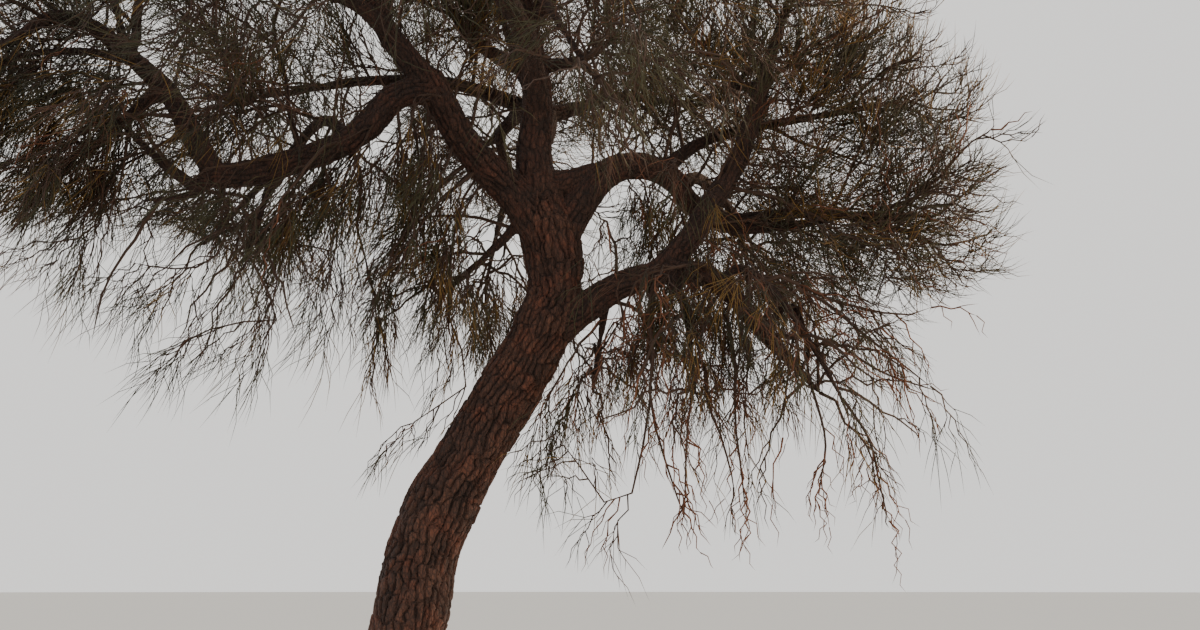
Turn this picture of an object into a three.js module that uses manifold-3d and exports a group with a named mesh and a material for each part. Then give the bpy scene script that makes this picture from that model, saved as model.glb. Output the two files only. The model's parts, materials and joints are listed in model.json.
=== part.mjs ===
// A whole needle-leaved acacia of dry country, standing alone: a leaning trunk cut flat at ground level, two
// forks, crooked boughs, and a wide weeping crown of separate masses of twigs and needles.
// Millimetres, +Z up. The origin is the middle of the flat cut under the trunk, and the tree is seen along +Y.
import * as THREE from "three";
import { mergeVertices } from "three/addons/utils/BufferGeometryUtils.js";
import Module from "manifold-3d";

const wasm = await Module();
wasm.setup();

// Driving sizes of the wood
const JOINT_GAP = 0.3; // a limb or stem stops this far from what carries it
const ROOT_DEPTH = 80; // how far below the ground the trunk is drawn before it is cut flat
const FLARE = { spread: 105, height: 170, spurs: 5, spurDepth: 0.22 }; // the root flare and its spurs
const TRUNK_GIRTH = [ // the trunk's radius at heights above the ground
  { height: 0, radius: 206 },
  { height: 1250, radius: 192 },
  { height: 1780, radius: 190 },
  { height: 2100, radius: 167 },
  { height: 2800, radius: 162 },
  { height: 3080, radius: 142 },
  { height: 3330, radius: 152 },
  { height: 3450, radius: 124 },
];
const COLLAR = { length: 110, swell: 0.35, share: 0.92 }; // a limb's swelling where it leaves its parent
const BLUNT = 0.72; // the share of its radius that a limb keeps at an end from which others fork
const BOUGH = { sides: 5, steps: 4, crook: 0.14, heave: 0.08 }; // a smaller bough and how far it strays
// The stem inside a mass: where it bends, and the share of it that is bare before the first frond
const STEM = { sides: 5, steps: 2, tip: 11, bend: 0.45, bare: 0.3, first: 0.35 };

// Driving sizes of the foliage
const CROWN_HEART = new THREE.Vector3(400, 0, 3900); // the open middle that foliage grows away from
const ENTRY = 0.55; // how far out from the middle of its space a mass meets its bough
const SKIN = 6; // foliage stays this far inside its own space
const CLEARANCE = 5; // and this far from every limb and from its own mass's other fronds
const FRONDS = 7; // flattened twigs on each mass's stem
const TRIES = 40; // ways that a frond may turn to keep clear of the others
const TURN = { first: 0.2, more: 0.05 }; // how far a frond turns at its first try, and further at each next one
const LEAN_OUT = 0.35; // how strongly a frond leans away from the heart of the crown
const LIFT = { stiff: 0.08, weeping: 0.24 }; // how far a frond arches above its chord
const REACH = { most: 0.98, least: 0.86 }; // how far towards the edge of its space a frond grows
const FROND = { thickness: 10, rootWidth: 16, tipWidth: 9, shortest: 260 };
// A fan of needles sits at a share of the frond's length. Its teeth turn from one angle off the twig to another.
const RIGHT_FAN = { rib: 1, at: 0.12, length: 0.58, teeth: 3, from: 1.45, to: 0.8 };
const LEFT_FAN = { rib: 2, at: 0.2, length: 0.56, teeth: 3, from: -0.8, to: -1.45 };
const END_FAN = { rib: 3, at: 0.34, length: 0.66, teeth: 5, from: 0.72, to: -0.72 };
const TOOTH = { shorter: 0.84, trim: 0.85, shortest: 100, valley: 0.56 };
const GOLDEN = 0.6180339887; // an even, never repeating step along a line
const EVEN_HEIGHT = 0.7548776662; // and two of them over a sphere
const EVEN_TURN = 0.569840291;

// The limbs in the order in which they are cut clear of each other. A limb starts on its parent's line at the
// share "at" of its length, and one with "into" ends where it enters that mass.
const LIMBS = [
  {
    name: "trunk", sides: 12, steps: 14,
    route: [[-2, 0, -ROOT_DEPTH], [10, -12, 600], [35, -15, 1300], [150, -5, 1790], [425, 15, 2310],
      [730, 12, 2840], [786, 5, 3080], [722, 0, 3440]],
  },
  {
    name: "centre_limb", parent: "trunk", at: 0.975, into: "top_centre", root: 108, tip: 46, sides: 7, steps: 6,
    route: [[666, 30, 3734], [682, 65, 4090], [611, 100, 4527]],
  },
  {
    name: "left_limb", parent: "trunk", at: 0.955, root: 96, tip: 76, sides: 7, steps: 5,
    route: [[542, -60, 3553], [375, -120, 3702], [231, -200, 3900], [105, -262, 4150]],
  },
  {
    name: "right_limb", parent: "trunk", at: 0.95, root: 94, tip: 50, sides: 7, steps: 6,
    route: [[1020, 60, 3637], [1236, 120, 3722], [1411, 180, 3660], [1521, 220, 3525], [1735, 262, 3400]],
  },
  {
    name: "low_right_limb", parent: "trunk", at: 0.795, into: "right_hanging", root: 98, tip: 40, sides: 7, steps: 6,
    route: [[1020, -60, 2979], [1229, -150, 3067], [1435, -240, 3085], [1637, -320, 3010]],
  },
  {
    name: "left_bough", parent: "left_limb", at: 0.9, root: 80, tip: 66, sides: 7, steps: 6,
    route: [[-35, -300, 4010], [-201, -330, 3827], [-379, -345, 3709], [-787, -360, 3588], [-1010, -362, 3560]],
  },
  {
    name: "left_crown_limb", parent: "left_limb", at: 0.88, into: "top_left", root: 74, tip: 40, sides: 7, steps: 6,
    route: [[-60, -300, 4300], [-205, -250, 4560]],
  },
  {
    name: "left_arch", parent: "left_bough", at: 0.96, into: "far_left", root: 68, tip: 26, sides: 6, steps: 7,
    route: [[-1071, -380, 3753], [-1203, -400, 3985], [-1370, -425, 4150], [-1600, -460, 4335], [-1790, -495, 4375]],
  },
  {
    name: "riser", parent: "low_right_limb", at: 0.5, into: "mid_right", root: 70, tip: 34, sides: 6, steps: 4,
    route: [[1492, -235, 3270], [1606, -215, 3460], [1760, -190, 3720]],
  },
  {
    name: "front_limb", parent: "centre_limb", at: 0.36, into: "front", root: 66, tip: 34, sides: 7, steps: 6,
    route: [[640, -330, 4280], [500, -850, 4440]],
  },
  {
    name: "back_limb", parent: "centre_limb", at: 0.24, into: "back", root: 70, tip: 36, sides: 7, steps: 6,
    route: [[720, 430, 4050], [600, 980, 4260]],
  },
];

// The smaller boughs, each grown by one rule from its parent to the mass that it carries.
const BOUGHS = [
  { into: "top_right", parent: "centre_limb", at: 0.62, root: 46, tip: 24, lift: 0.12 },
  { into: "top_front", parent: "front_limb", at: 0.34, root: 42, tip: 22, lift: 0.05 },
  { into: "top_back", parent: "back_limb", at: 0.4, root: 42, tip: 22, lift: 0.08 },
  { into: "right_back", parent: "back_limb", at: 0.3, root: 44, tip: 22, lift: 0.1 },
  { into: "left_back", parent: "back_limb", at: 0.62, root: 44, tip: 22, lift: 0.12 },
  { into: "left_upper", parent: "left_arch", at: 0.52, root: 34, tip: 20, lift: -0.05 },
  { into: "left_front", parent: "left_crown_limb", at: 0.34, root: 42, tip: 22, lift: 0.12 },
  { into: "right_front", parent: "front_limb", at: 0.5, root: 44, tip: 22, lift: 0.1 },
  { into: "right_upper", parent: "right_limb", at: 0.62, root: 38, tip: 20, lift: 0.1 },
  { into: "far_right", parent: "right_limb", at: 0.95, root: 38, tip: 20, lift: 0.05 },
  { into: "left_hanging", parent: "left_arch", at: 0.34, root: 34, tip: 19, lift: 0.16 },
  { into: "left_mid_hanging", parent: "left_bough", at: 0.7, root: 32, tip: 18, lift: 0.05 },
  { into: "inner_left_hanging", parent: "left_limb", at: 0.12, root: 34, tip: 18, lift: 0.18 },
  { into: "low_right_front", parent: "low_right_limb", at: 0.56, root: 32, tip: 18, lift: 0.08 },
  { into: "low_right_inner", parent: "low_right_limb", at: 0.3, root: 28, tip: 16, lift: 0.16 },
  { into: "back_right_low", parent: "right_limb", at: 0.72, root: 38, tip: 20, lift: 0.14 },
  { into: "back_low", parent: "back_limb", at: 0.8, root: 34, tip: 18, lift: 0.12 },
  { into: "left_back_low", parent: "left_bough", at: 0.42, root: 36, tip: 19, lift: 0.16 },
  { into: "front_low", parent: "front_limb", at: 0.72, root: 32, tip: 18, lift: 0.1 },
];

// The masses of foliage: the middle and half-widths of the space that each fills, and how much it weeps, up to 1.
const MASSES = [
  { name: "top_centre", centre: [330, 60, 5520], reach: [800, 800, 660], weep: 0.05 },
  { name: "top_left", centre: [-660, 120, 5260], reach: [860, 800, 640], weep: 0.1 },
  { name: "top_right", centre: [1340, 60, 5230], reach: [840, 820, 640], weep: 0.08 },
  { name: "top_front", centre: [300, -1120, 5060], reach: [900, 800, 620], weep: 0.15 },
  { name: "top_back", centre: [360, 1220, 5080], reach: [900, 800, 640], weep: 0.15 },
  { name: "mid_right", centre: [2040, -120, 4620], reach: [780, 760, 640], weep: 0.1 },
  { name: "right_back", centre: [1640, 1300, 4340], reach: [820, 800, 700], weep: 0.3 },
  { name: "back", centre: [280, 2080, 4250], reach: [860, 700, 660], weep: 0.4 },
  { name: "left_back", centre: [-1200, 1420, 4400], reach: [860, 820, 700], weep: 0.4 },
  { name: "left_upper", centre: [-1620, -40, 4720], reach: [860, 800, 640], weep: 0.25 },
  { name: "left_front", centre: [-860, -1380, 4340], reach: [820, 760, 640], weep: 0.5 },
  { name: "front", centre: [280, -2040, 4380], reach: [860, 700, 600], weep: 0.45 },
  { name: "right_front", centre: [1520, -1380, 4440], reach: [840, 760, 680], weep: 0.35 },
  { name: "right_upper", centre: [2560, 220, 4080], reach: [640, 700, 520], weep: 0.1 },
  { name: "far_right", centre: [2660, 0, 3400], reach: [660, 700, 480], weep: 0.3 },
  { name: "far_left", centre: [-2220, -480, 4140], reach: [700, 760, 660], weep: 0.6 },
  { name: "left_hanging", centre: [-1680, -430, 3600], reach: [660, 660, 640], weep: 0.9 },
  { name: "left_mid_hanging", centre: [-800, -400, 3080], reach: [640, 620, 620], weep: 1 },
  { name: "inner_left_hanging", centre: [150, 60, 2980], reach: [520, 600, 700], weep: 1 },
  { name: "low_right_front", centre: [1500, -480, 2420], reach: [600, 640, 720], weep: 1 },
  { name: "low_right_inner", centre: [980, 160, 2500], reach: [420, 560, 560], weep: 1 },
  { name: "right_hanging", centre: [2140, -320, 2450], reach: [600, 640, 800], weep: 0.9 },
  { name: "back_right_low", centre: [1950, 1300, 3460], reach: [760, 760, 620], weep: 0.8 },
  { name: "back_low", centre: [300, 1980, 3350], reach: [840, 720, 600], weep: 0.9 },
  { name: "left_back_low", centre: [-1320, 1200, 3480], reach: [800, 760, 620], weep: 0.9 },
  { name: "front_low", centre: [1000, -1780, 3720], reach: [720, 660, 520], weep: 0.8 },
];

const vec = (p) => new THREE.Vector3(...p);
const fraction = (value) => value - Math.floor(value);
const mix = (from, to, share) => from + (to - from) * share;

// A small seeded random source, the same wherever it is written again.
function seeded(seed) {
  const multiplier = 16807;
  const modulus = 2147483647;
  let state = (seed * 7919 + 104729) % modulus;
  const next = () => {
    state = (state * multiplier) % modulus;
    return state / modulus;
  };
  next();
  return next;
}

// A direction on the sphere from an even sequence that can be carried on without end.
function evenDirection(index, seed) {
  const height = 1 - 2 * fraction(0.5 + index * EVEN_HEIGHT + seed * 0.31);
  const turn = 2 * Math.PI * fraction(index * EVEN_TURN + seed * 0.17);
  const level = Math.sqrt(1 - height * height);
  return new THREE.Vector3(level * Math.cos(turn), level * Math.sin(turn), height);
}

// Each mass keeps to its own space: its rounded outline, cut by a flat plane between it and each neighbour.
MASSES.forEach((mass, index) => {
  mass.seed = index + 1;
  mass.middle = vec(mass.centre);
  mass.half = vec(mass.reach);
  mass.weight = mass.half.lengthSq() / 3;
  mass.outward = mass.middle.clone().sub(CROWN_HEART).normalize();
  mass.outward.z -= mass.weep;
  mass.outward.normalize();
});
for (const mass of MASSES) {
  mass.planes = MASSES.filter((other) => other !== mass).map((other) => {
    const normal = other.middle.clone().sub(mass.middle);
    const apart = normal.length();
    const offset = (apart ** 2 + mass.weight - other.weight) / (2 * apart);
    return { normal: normal.divideScalar(apart), offset };
  });
}
const massNamed = Object.fromEntries(MASSES.map((mass) => [mass.name, mass]));

// How far a straight line from a point inside a mass's space can go before it leaves that space.
function roomAlong(mass, from, direction) {
  const half = mass.half.clone().subScalar(SKIN);
  const start = from.clone().sub(mass.middle);
  const p = start.clone().divide(half);
  const d = direction.clone().divide(half);
  const a = d.dot(d);
  const b = p.dot(d);
  const c = p.dot(p) - 1;
  if (c >= 0) return 0;
  let room = (-b + Math.sqrt(b * b - a * c)) / a;
  for (const plane of mass.planes) {
    const left = plane.offset - SKIN - start.dot(plane.normal);
    if (left <= 0) return 0;
    const speed = direction.dot(plane.normal);
    if (speed > 0) room = Math.min(room, left / speed);
  }
  return room;
}

function isInside(mass, point) {
  const from = point.clone().sub(mass.middle);
  const distance = from.length();
  return roomAlong(mass, mass.middle, from.divideScalar(distance)) > distance;
}

// Where a limb that comes from a point enters a mass: inside its space, short of its middle.
function entryOf(mass, from) {
  const outward = from.clone().sub(mass.middle).normalize();
  return mass.middle.clone().addScaledVector(outward, roomAlong(mass, mass.middle, outward) * ENTRY);
}

function curveThrough(points) {
  const curve = new THREE.CatmullRomCurve3(points, false, "catmullrom", 0.5);
  curve.arcLengthDivisions = 200;
  return curve;
}

// The trunk's radius at a height, with the root flare and its spurs added near the ground.
function trunkRadius(height, angle) {
  const above = TRUNK_GIRTH.findIndex((station) => station.height >= height);
  const high = TRUNK_GIRTH[above < 0 ? TRUNK_GIRTH.length - 1 : Math.max(above, 1)];
  const low = TRUNK_GIRTH[TRUNK_GIRTH.indexOf(high) - 1];
  const girth = mix(low.radius, high.radius, THREE.MathUtils.smoothstep(height, low.height, high.height));
  const fade = Math.exp(-Math.max(height, 0) / FLARE.height);
  return girth + FLARE.spread * fade * (1 + FLARE.spurDepth * Math.cos(FLARE.spurs * angle));
}

function limbRadius(limb, parent, share) {
  const along = share * limb.curve.getLength();
  const radius = mix(limb.root, limb.tip, share) * (1 + COLLAR.swell * Math.exp(-along / COLLAR.length));
  const most = COLLAR.share * parent.radiusAt(limb.at, parent.curve.getPointAt(limb.at), 0);
  return share === 1 && !limb.into ? radius * BLUNT : Math.min(radius, most);
}

function solidOf(geometry) {
  geometry.deleteAttribute("normal");
  geometry.deleteAttribute("uv");
  const merged = mergeVertices(geometry, 1e-3);
  const vertProperties = merged.attributes.position.array;
  const triVerts = new Uint32Array(merged.index.array);
  return new wasm.Manifold(new wasm.Mesh({ numProp: 3, vertProperties, triVerts }));
}

function geometryOf(solid) {
  const mesh = solid.getMesh();
  const geometry = new THREE.BufferGeometry();
  geometry.setAttribute("position", new THREE.BufferAttribute(mesh.vertProperties, 3));
  geometry.setIndex(new THREE.BufferAttribute(mesh.triVerts, 1));
  geometry.computeVertexNormals();
  return geometry;
}

// The largest piece of a solid, without the scraps that cutting or joining can leave.
function largest(solid) {
  return solid.decompose().sort((a, b) => b.volume() - a.volume())[0];
}

const boxesMeet = (a, b, gap) => [0, 1, 2].every((k) => a.min[k] <= b.max[k] + gap && b.min[k] <= a.max[k] + gap);

const isNear = (a, b) =>
  boxesMeet(a.boundingBox(), b.boundingBox(), CLEARANCE) && a.minGap(b, CLEARANCE) < CLEARANCE;

// A closed tube: a cylinder whose rings are laid along a curve. "grow" makes it fatter and longer all round.
function tube(curve, sides, steps, radiusAt, grow = 0) {
  const frames = curve.computeFrenetFrames(steps, false);
  const geometry = new THREE.CylinderGeometry(1, 1, 1, sides, steps);
  const place = geometry.attributes.position;
  for (let i = 0; i < place.count; i++) {
    const ring = Math.round((place.getY(i) + 0.5) * steps);
    const share = ring / steps;
    const centre = curve.getPointAt(share);
    const end = (ring === steps) - (ring === 0);
    centre.addScaledVector(frames.tangents[ring], end * grow);
    const radius = radiusAt(share, centre, Math.atan2(place.getX(i), place.getZ(i))) + grow;
    centre.addScaledVector(frames.binormals[ring], place.getX(i) * radius);
    centre.addScaledVector(frames.normals[ring], place.getZ(i) * radius);
    place.setXYZ(i, ...centre);
  }
  return solidOf(geometry);
}

// Gives a limb its curve and its radius, from the ground or from its parent.
function shapeLimb(limb, parent) {
  const points = limb.route.map(vec);
  if (parent) points.unshift(parent.curve.getPointAt(limb.at));
  if (limb.into) points.push(entryOf(massNamed[limb.into], points.at(-1)));
  limb.curve = curveThrough(points);
  limb.radiusAt = parent
    ? (share) => limbRadius(limb, parent, share)
    : (share, centre, angle) => trunkRadius(centre.z, angle);
}

// Makes a limb's solid, cut flat at the ground and clear of every earlier limb that it would meet.
function cutLimb(limb, earlier) {
  const { curve, sides, steps, radiusAt } = limb;
  const ground = solidOf(new THREE.BoxGeometry(2000, 2000, 1000).translate(0, 0, -500));
  let solid = tube(curve, sides, steps, radiusAt).subtract(ground);
  const box = solid.boundingBox();
  for (const other of earlier) {
    if (boxesMeet(box, other.cutter.boundingBox(), 0)) solid = solid.subtract(other.cutter);
  }
  limb.solid = largest(solid);
  limb.cutter = tube(curve, sides, steps, radiusAt, JOINT_GAP);
}

// A smaller bough's route: from its parent to its mass, crooked, and lifted or sunk in the middle.
function boughRoute(bough, parent, seed) {
  const random = seeded(seed);
  const start = parent.curve.getPointAt(bough.at);
  const end = entryOf(massNamed[bough.into], start);
  const span = end.distanceTo(start);
  return [1 / 3, 2 / 3].map((share) => {
    const point = start.clone().lerp(end, share);
    point.x += (random() - 0.5) * BOUGH.crook * span;
    point.y += (random() - 0.5) * BOUGH.crook * span;
    point.z += (bough.lift + (random() - 0.5) * BOUGH.heave) * span;
    return point.toArray();
  });
}

// The stem of a mass, on from its bough's tip, clear of it and in the same line, to the middle of its space.
function stemOf(mass, bough) {
  const along = bough.curve.getTangentAt(1);
  const start = bough.curve.getPointAt(1).addScaledVector(along, JOINT_GAP);
  const bend = start.clone().addScaledVector(along, mass.middle.distanceTo(start) * STEM.bend);
  return new THREE.QuadraticBezierCurve3(start, bend, mass.middle.clone());
}

// The line of the frond with this number: from the stem towards the edge of the space, first lifted and then
// sagging as far as the mass weeps. Each attempt turns it another way, further and further.
function frondLine(mass, stem, index, attempt, random) {
  const start = stem.getPoint(index === 0 ? 1 : mix(STEM.bare, 1, fraction(STEM.first + index * GOLDEN)));
  const aim = index === 0 ? mass.outward.clone() : evenDirection(index, mass.seed);
  const turn = TURN.first + TURN.more * attempt;
  aim.addScaledVector(mass.outward, LEAN_OUT).normalize();
  aim.x += (random() - 0.5) * turn;
  aim.y += (random() - 0.5) * turn;
  aim.z += (random() - 0.5) * turn;
  aim.normalize();
  const reach = roomAlong(mass, start, aim) * mix(REACH.most, REACH.least, random());
  const end = start.clone().addScaledVector(aim, reach);
  const bend = start.clone().lerp(end, 0.5);
  bend.z += mix(LIFT.stiff, LIFT.weeping, mass.weep) * reach;
  return isInside(mass, bend) ? new THREE.QuadraticBezierCurve3(start, bend, end) : null;
}

// One fan of needles as points of the frond's flat outline, each with the number of its fan. A tooth that would
// leave the mass's space is shortened, and left out when it would be too short.
function fanOutline(fan, length, hasRoom) {
  const foot = fan.at * length;
  const points = [];
  let before = null;
  for (let k = 0; k < fan.teeth; k++) {
    const angle = mix(fan.from, fan.to, k / (fan.teeth - 1));
    const tipAt = (size) => [size * Math.sin(angle), foot + size * Math.cos(angle)];
    let size = fan.length * length * (k % 2 ? 1 : TOOTH.shorter);
    while (size > TOOTH.shortest && !hasRoom(...tipAt(size))) size *= TOOTH.trim;
    if (size <= TOOTH.shortest) continue;
    if (before) {
      const between = (before.angle + angle) / 2;
      const valley = TOOTH.valley * Math.min(before.size, size);
      points.push([valley * Math.sin(between), foot + valley * Math.cos(between), fan.rib]);
    }
    points.push([...tipAt(size), fan.rib]);
    before = { angle, size };
  }
  return points;
}

// The closed faces of a flat blade: thin at its outline and thick along its rib. Each outline point is joined to
// its own point of the rib, above and below.
function bladeFaces(outline, ribs) {
  const above = (rib) => outline.length + rib;
  const below = (rib) => outline.length + ribs + rib;
  const faces = [];
  for (let i = 0; i < outline.length; i++) {
    const next = (i + 1) % outline.length;
    const from = outline[i][2];
    const to = outline[next][2];
    faces.push([i, next, above(from)], [next, i, below(from)]);
    const step = Math.sign(to - from);
    for (let rib = from; rib !== to; rib += step) {
      faces.push([next, above(rib + step), above(rib)], [next, below(rib), below(rib + step)]);
    }
  }
  return faces.flat();
}

// The flat outline of a frond, as points across and along it: up its right side, round its end, down its left.
function frondOutline(length, hasRoom) {
  const half = (share) => mix(FROND.rootWidth, FROND.tipWidth, share) / 2;
  const foot = (fan, side, up) => [side * half(fan.at), fan.at * length + up * FROND.rootWidth, fan.rib];
  const right = fanOutline(RIGHT_FAN, length, hasRoom);
  const left = fanOutline(LEFT_FAN, length, hasRoom);
  const end = fanOutline(END_FAN, length, hasRoom);
  const outline = [[half(0), 0, 0]];
  if (right.length) outline.push(foot(RIGHT_FAN, 1, -1), ...right, foot(RIGHT_FAN, 1, 1));
  outline.push(foot(END_FAN, 1, -1), ...end, foot(END_FAN, -1, -1));
  if (left.length) outline.push(foot(LEFT_FAN, -1, 1), ...left, foot(LEFT_FAN, -1, -1));
  outline.push([-half(0), 0, 0]);
  return end.length ? outline : null;
}

// A frond: a flattened twig with a fan of needles on each side and one at its end, bent along its line.
function frond(mass, stem, index, attempt) {
  const random = seeded(mass.seed * 9973 + index * 1013 + attempt * 31);
  const line = frondLine(mass, stem, index, attempt, random);
  if (!line || line.getLength() < FROND.shortest) return null;
  const length = line.getLength();
  const across = new THREE.Vector3(random() - 0.5, random() - 0.5, random() - 0.5);
  const place = (x, y, z) => {
    const share = THREE.MathUtils.clamp(y / length, 0, 1);
    const along = line.getTangentAt(share);
    const side = across.clone().addScaledVector(along, -across.dot(along)).normalize();
    const face = side.clone().cross(along);
    return line.getPointAt(share).addScaledVector(side, x).addScaledVector(face, z);
  };
  const outline = frondOutline(length, (x, y) => isInside(mass, place(x, y, 0)));
  if (!outline) return null;
  const rib = [0, RIGHT_FAN.at, LEFT_FAN.at, END_FAN.at].map((share) => share * length);
  const geometry = new THREE.BufferGeometry().setFromPoints([
    ...outline.map(([x, y]) => place(x, y, 0)),
    ...rib.map((y) => place(0, y, FROND.thickness / 2)),
    ...rib.map((y) => place(0, y, -FROND.thickness / 2)),
  ]);
  geometry.setIndex(bladeFaces(outline, rib.length));
  return solidOf(geometry);
}

function growMass(mass, bough, limbs) {
  const line = stemOf(mass, bough);
  const stem = tube(line, STEM.sides, STEM.steps, (share) => mix(bough.tip, STEM.tip, share));
  const fronds = [];
  for (let i = 0; i < FRONDS; i++) {
    for (let attempt = 0; attempt < TRIES; attempt++) {
      const next = frond(mass, line, i, attempt);
      if (!next || fronds.some((other) => isNear(other, next))) continue;
      if (limbs.some((limb) => isNear(limb.solid, next))) continue;
      fronds.push(next);
      break;
    }
  }
  return largest(wasm.Manifold.union([stem, ...fronds]));
}

const bark = new THREE.MeshStandardMaterial({ color: 0x4a2e20, roughness: 0.95, metalness: 0 });
const youngBark = new THREE.MeshStandardMaterial({ color: 0x4f3526, roughness: 0.9, metalness: 0 });
const needles = new THREE.MeshStandardMaterial({ color: 0x55582c, roughness: 0.75, metalness: 0 });

const tree = new THREE.Group();

function addNode(name, solid, material) {
  const mesh = new THREE.Mesh(geometryOf(solid), material);
  mesh.name = name;
  tree.add(mesh);
}

const limbs = [];
function addLimb(limb, parent, material) {
  shapeLimb(limb, parent);
  cutLimb(limb, limbs);
  limbs.push(limb);
  addNode(limb.name, limb.solid, material);
}
const limbNamed = (name) => limbs.find((limb) => limb.name === name);

for (const limb of LIMBS) addLimb(limb, limbNamed(limb.parent), bark);
BOUGHS.forEach((bough, index) => {
  const parent = limbNamed(bough.parent);
  const { sides, steps } = BOUGH;
  const limb = { ...bough, name: `bough_${bough.into}`, sides, steps, route: boughRoute(bough, parent, index) };
  addLimb(limb, parent, youngBark);
});
for (const mass of MASSES) {
  const bough = limbs.find((limb) => limb.into === mass.name);
  addNode(`mass_${mass.name}`, growMass(mass, bough, limbs), needles);
}

export default tree;
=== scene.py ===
"""The looks of a needle-leaved acacia of dry country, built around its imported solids.

Blender works in metres, with +Z up and the tree seen along +Y. The tables and rules of the wood and the twigs
are in millimetres, as they are in the part's source, and every mesh is scaled to metres when it is made.
"""

import json
from math import pi, radians

import bmesh
import bpy
import numpy as np
from mathutils import Matrix, Vector

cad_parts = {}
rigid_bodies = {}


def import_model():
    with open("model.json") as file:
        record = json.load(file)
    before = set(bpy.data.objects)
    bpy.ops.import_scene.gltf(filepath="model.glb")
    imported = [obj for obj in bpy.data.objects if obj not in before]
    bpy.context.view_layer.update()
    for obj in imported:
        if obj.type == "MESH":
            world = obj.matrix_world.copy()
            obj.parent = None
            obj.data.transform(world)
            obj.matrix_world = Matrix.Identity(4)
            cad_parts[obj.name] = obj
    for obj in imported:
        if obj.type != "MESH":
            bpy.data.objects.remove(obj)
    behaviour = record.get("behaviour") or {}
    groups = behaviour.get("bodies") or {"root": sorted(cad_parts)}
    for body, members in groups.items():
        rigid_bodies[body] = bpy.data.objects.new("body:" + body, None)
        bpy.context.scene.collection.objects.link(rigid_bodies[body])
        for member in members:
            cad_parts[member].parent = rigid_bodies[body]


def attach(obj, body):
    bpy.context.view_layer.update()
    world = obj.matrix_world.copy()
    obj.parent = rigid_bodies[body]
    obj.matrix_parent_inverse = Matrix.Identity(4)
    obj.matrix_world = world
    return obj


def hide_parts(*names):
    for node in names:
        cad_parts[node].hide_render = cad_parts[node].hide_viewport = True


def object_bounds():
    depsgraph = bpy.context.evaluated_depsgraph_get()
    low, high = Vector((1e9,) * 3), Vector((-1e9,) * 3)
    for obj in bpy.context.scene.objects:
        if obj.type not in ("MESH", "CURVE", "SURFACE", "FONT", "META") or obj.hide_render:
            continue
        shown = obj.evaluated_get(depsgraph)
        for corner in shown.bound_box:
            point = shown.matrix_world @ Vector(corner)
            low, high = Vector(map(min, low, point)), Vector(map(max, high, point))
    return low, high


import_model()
CAD_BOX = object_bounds()

MM = 0.001
UP = np.array([0.0, 0.0, 1.0])
GOLDEN = 0.6180339887
TWIG_TURN = 2.399963  # the golden angle, round a twig from one side shoot to the next
BLOCK = 20000  # so many points are measured against the wood at a time

# The looks may stand a little proud of the solids' box, on each side
PROUD = {"share": 0.027, "least": 5}
CORNERS = np.array([list(corner) for corner in CAD_BOX]) / MM
MARGIN = (CORNERS[1] - CORNERS[0]) * PROUD["share"] + PROUD["least"]
BOX_LOW = CORNERS[0] - MARGIN
BOX_HIGH = CORNERS[1] + MARGIN

# The wood, as in the source
JOINT_GAP = 0.3
ROOT_DEPTH = 80
FLARE = {"spread": 105, "height": 170, "spurs": 5, "spur_depth": 0.22, "least": 0.01}
TRUNK_HEIGHTS = [0, 1250, 1780, 2100, 2800, 3080, 3330, 3450]
TRUNK_RADII = [206, 192, 190, 167, 162, 142, 152, 124]
COLLAR = {"length": 110, "swell": 0.35, "share": 0.92}
BOUGH = {"crook": 0.14, "heave": 0.08}
STEM = {"tip": 11, "bend": 0.45, "bare": 0.3, "first": 0.35, "overlap": 0.95}

# The foliage, as in the source
CROWN_HEART = np.array([400.0, 0.0, 3900.0])
ENTRY = 0.55
SKIN = 6
LEAN_OUT = 0.35
TURN = 0.2
LIFT = {"stiff": 0.08, "weeping": 0.24}
REACH = {"most": 0.98, "least": 0.86}
EVEN_HEIGHT = 0.7548776662
EVEN_TURN = 0.569840291


def table(names, *rows):
    """Rows of values as dictionaries that share their names."""
    return [dict(zip(names.split(), row)) for row in rows]


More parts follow.
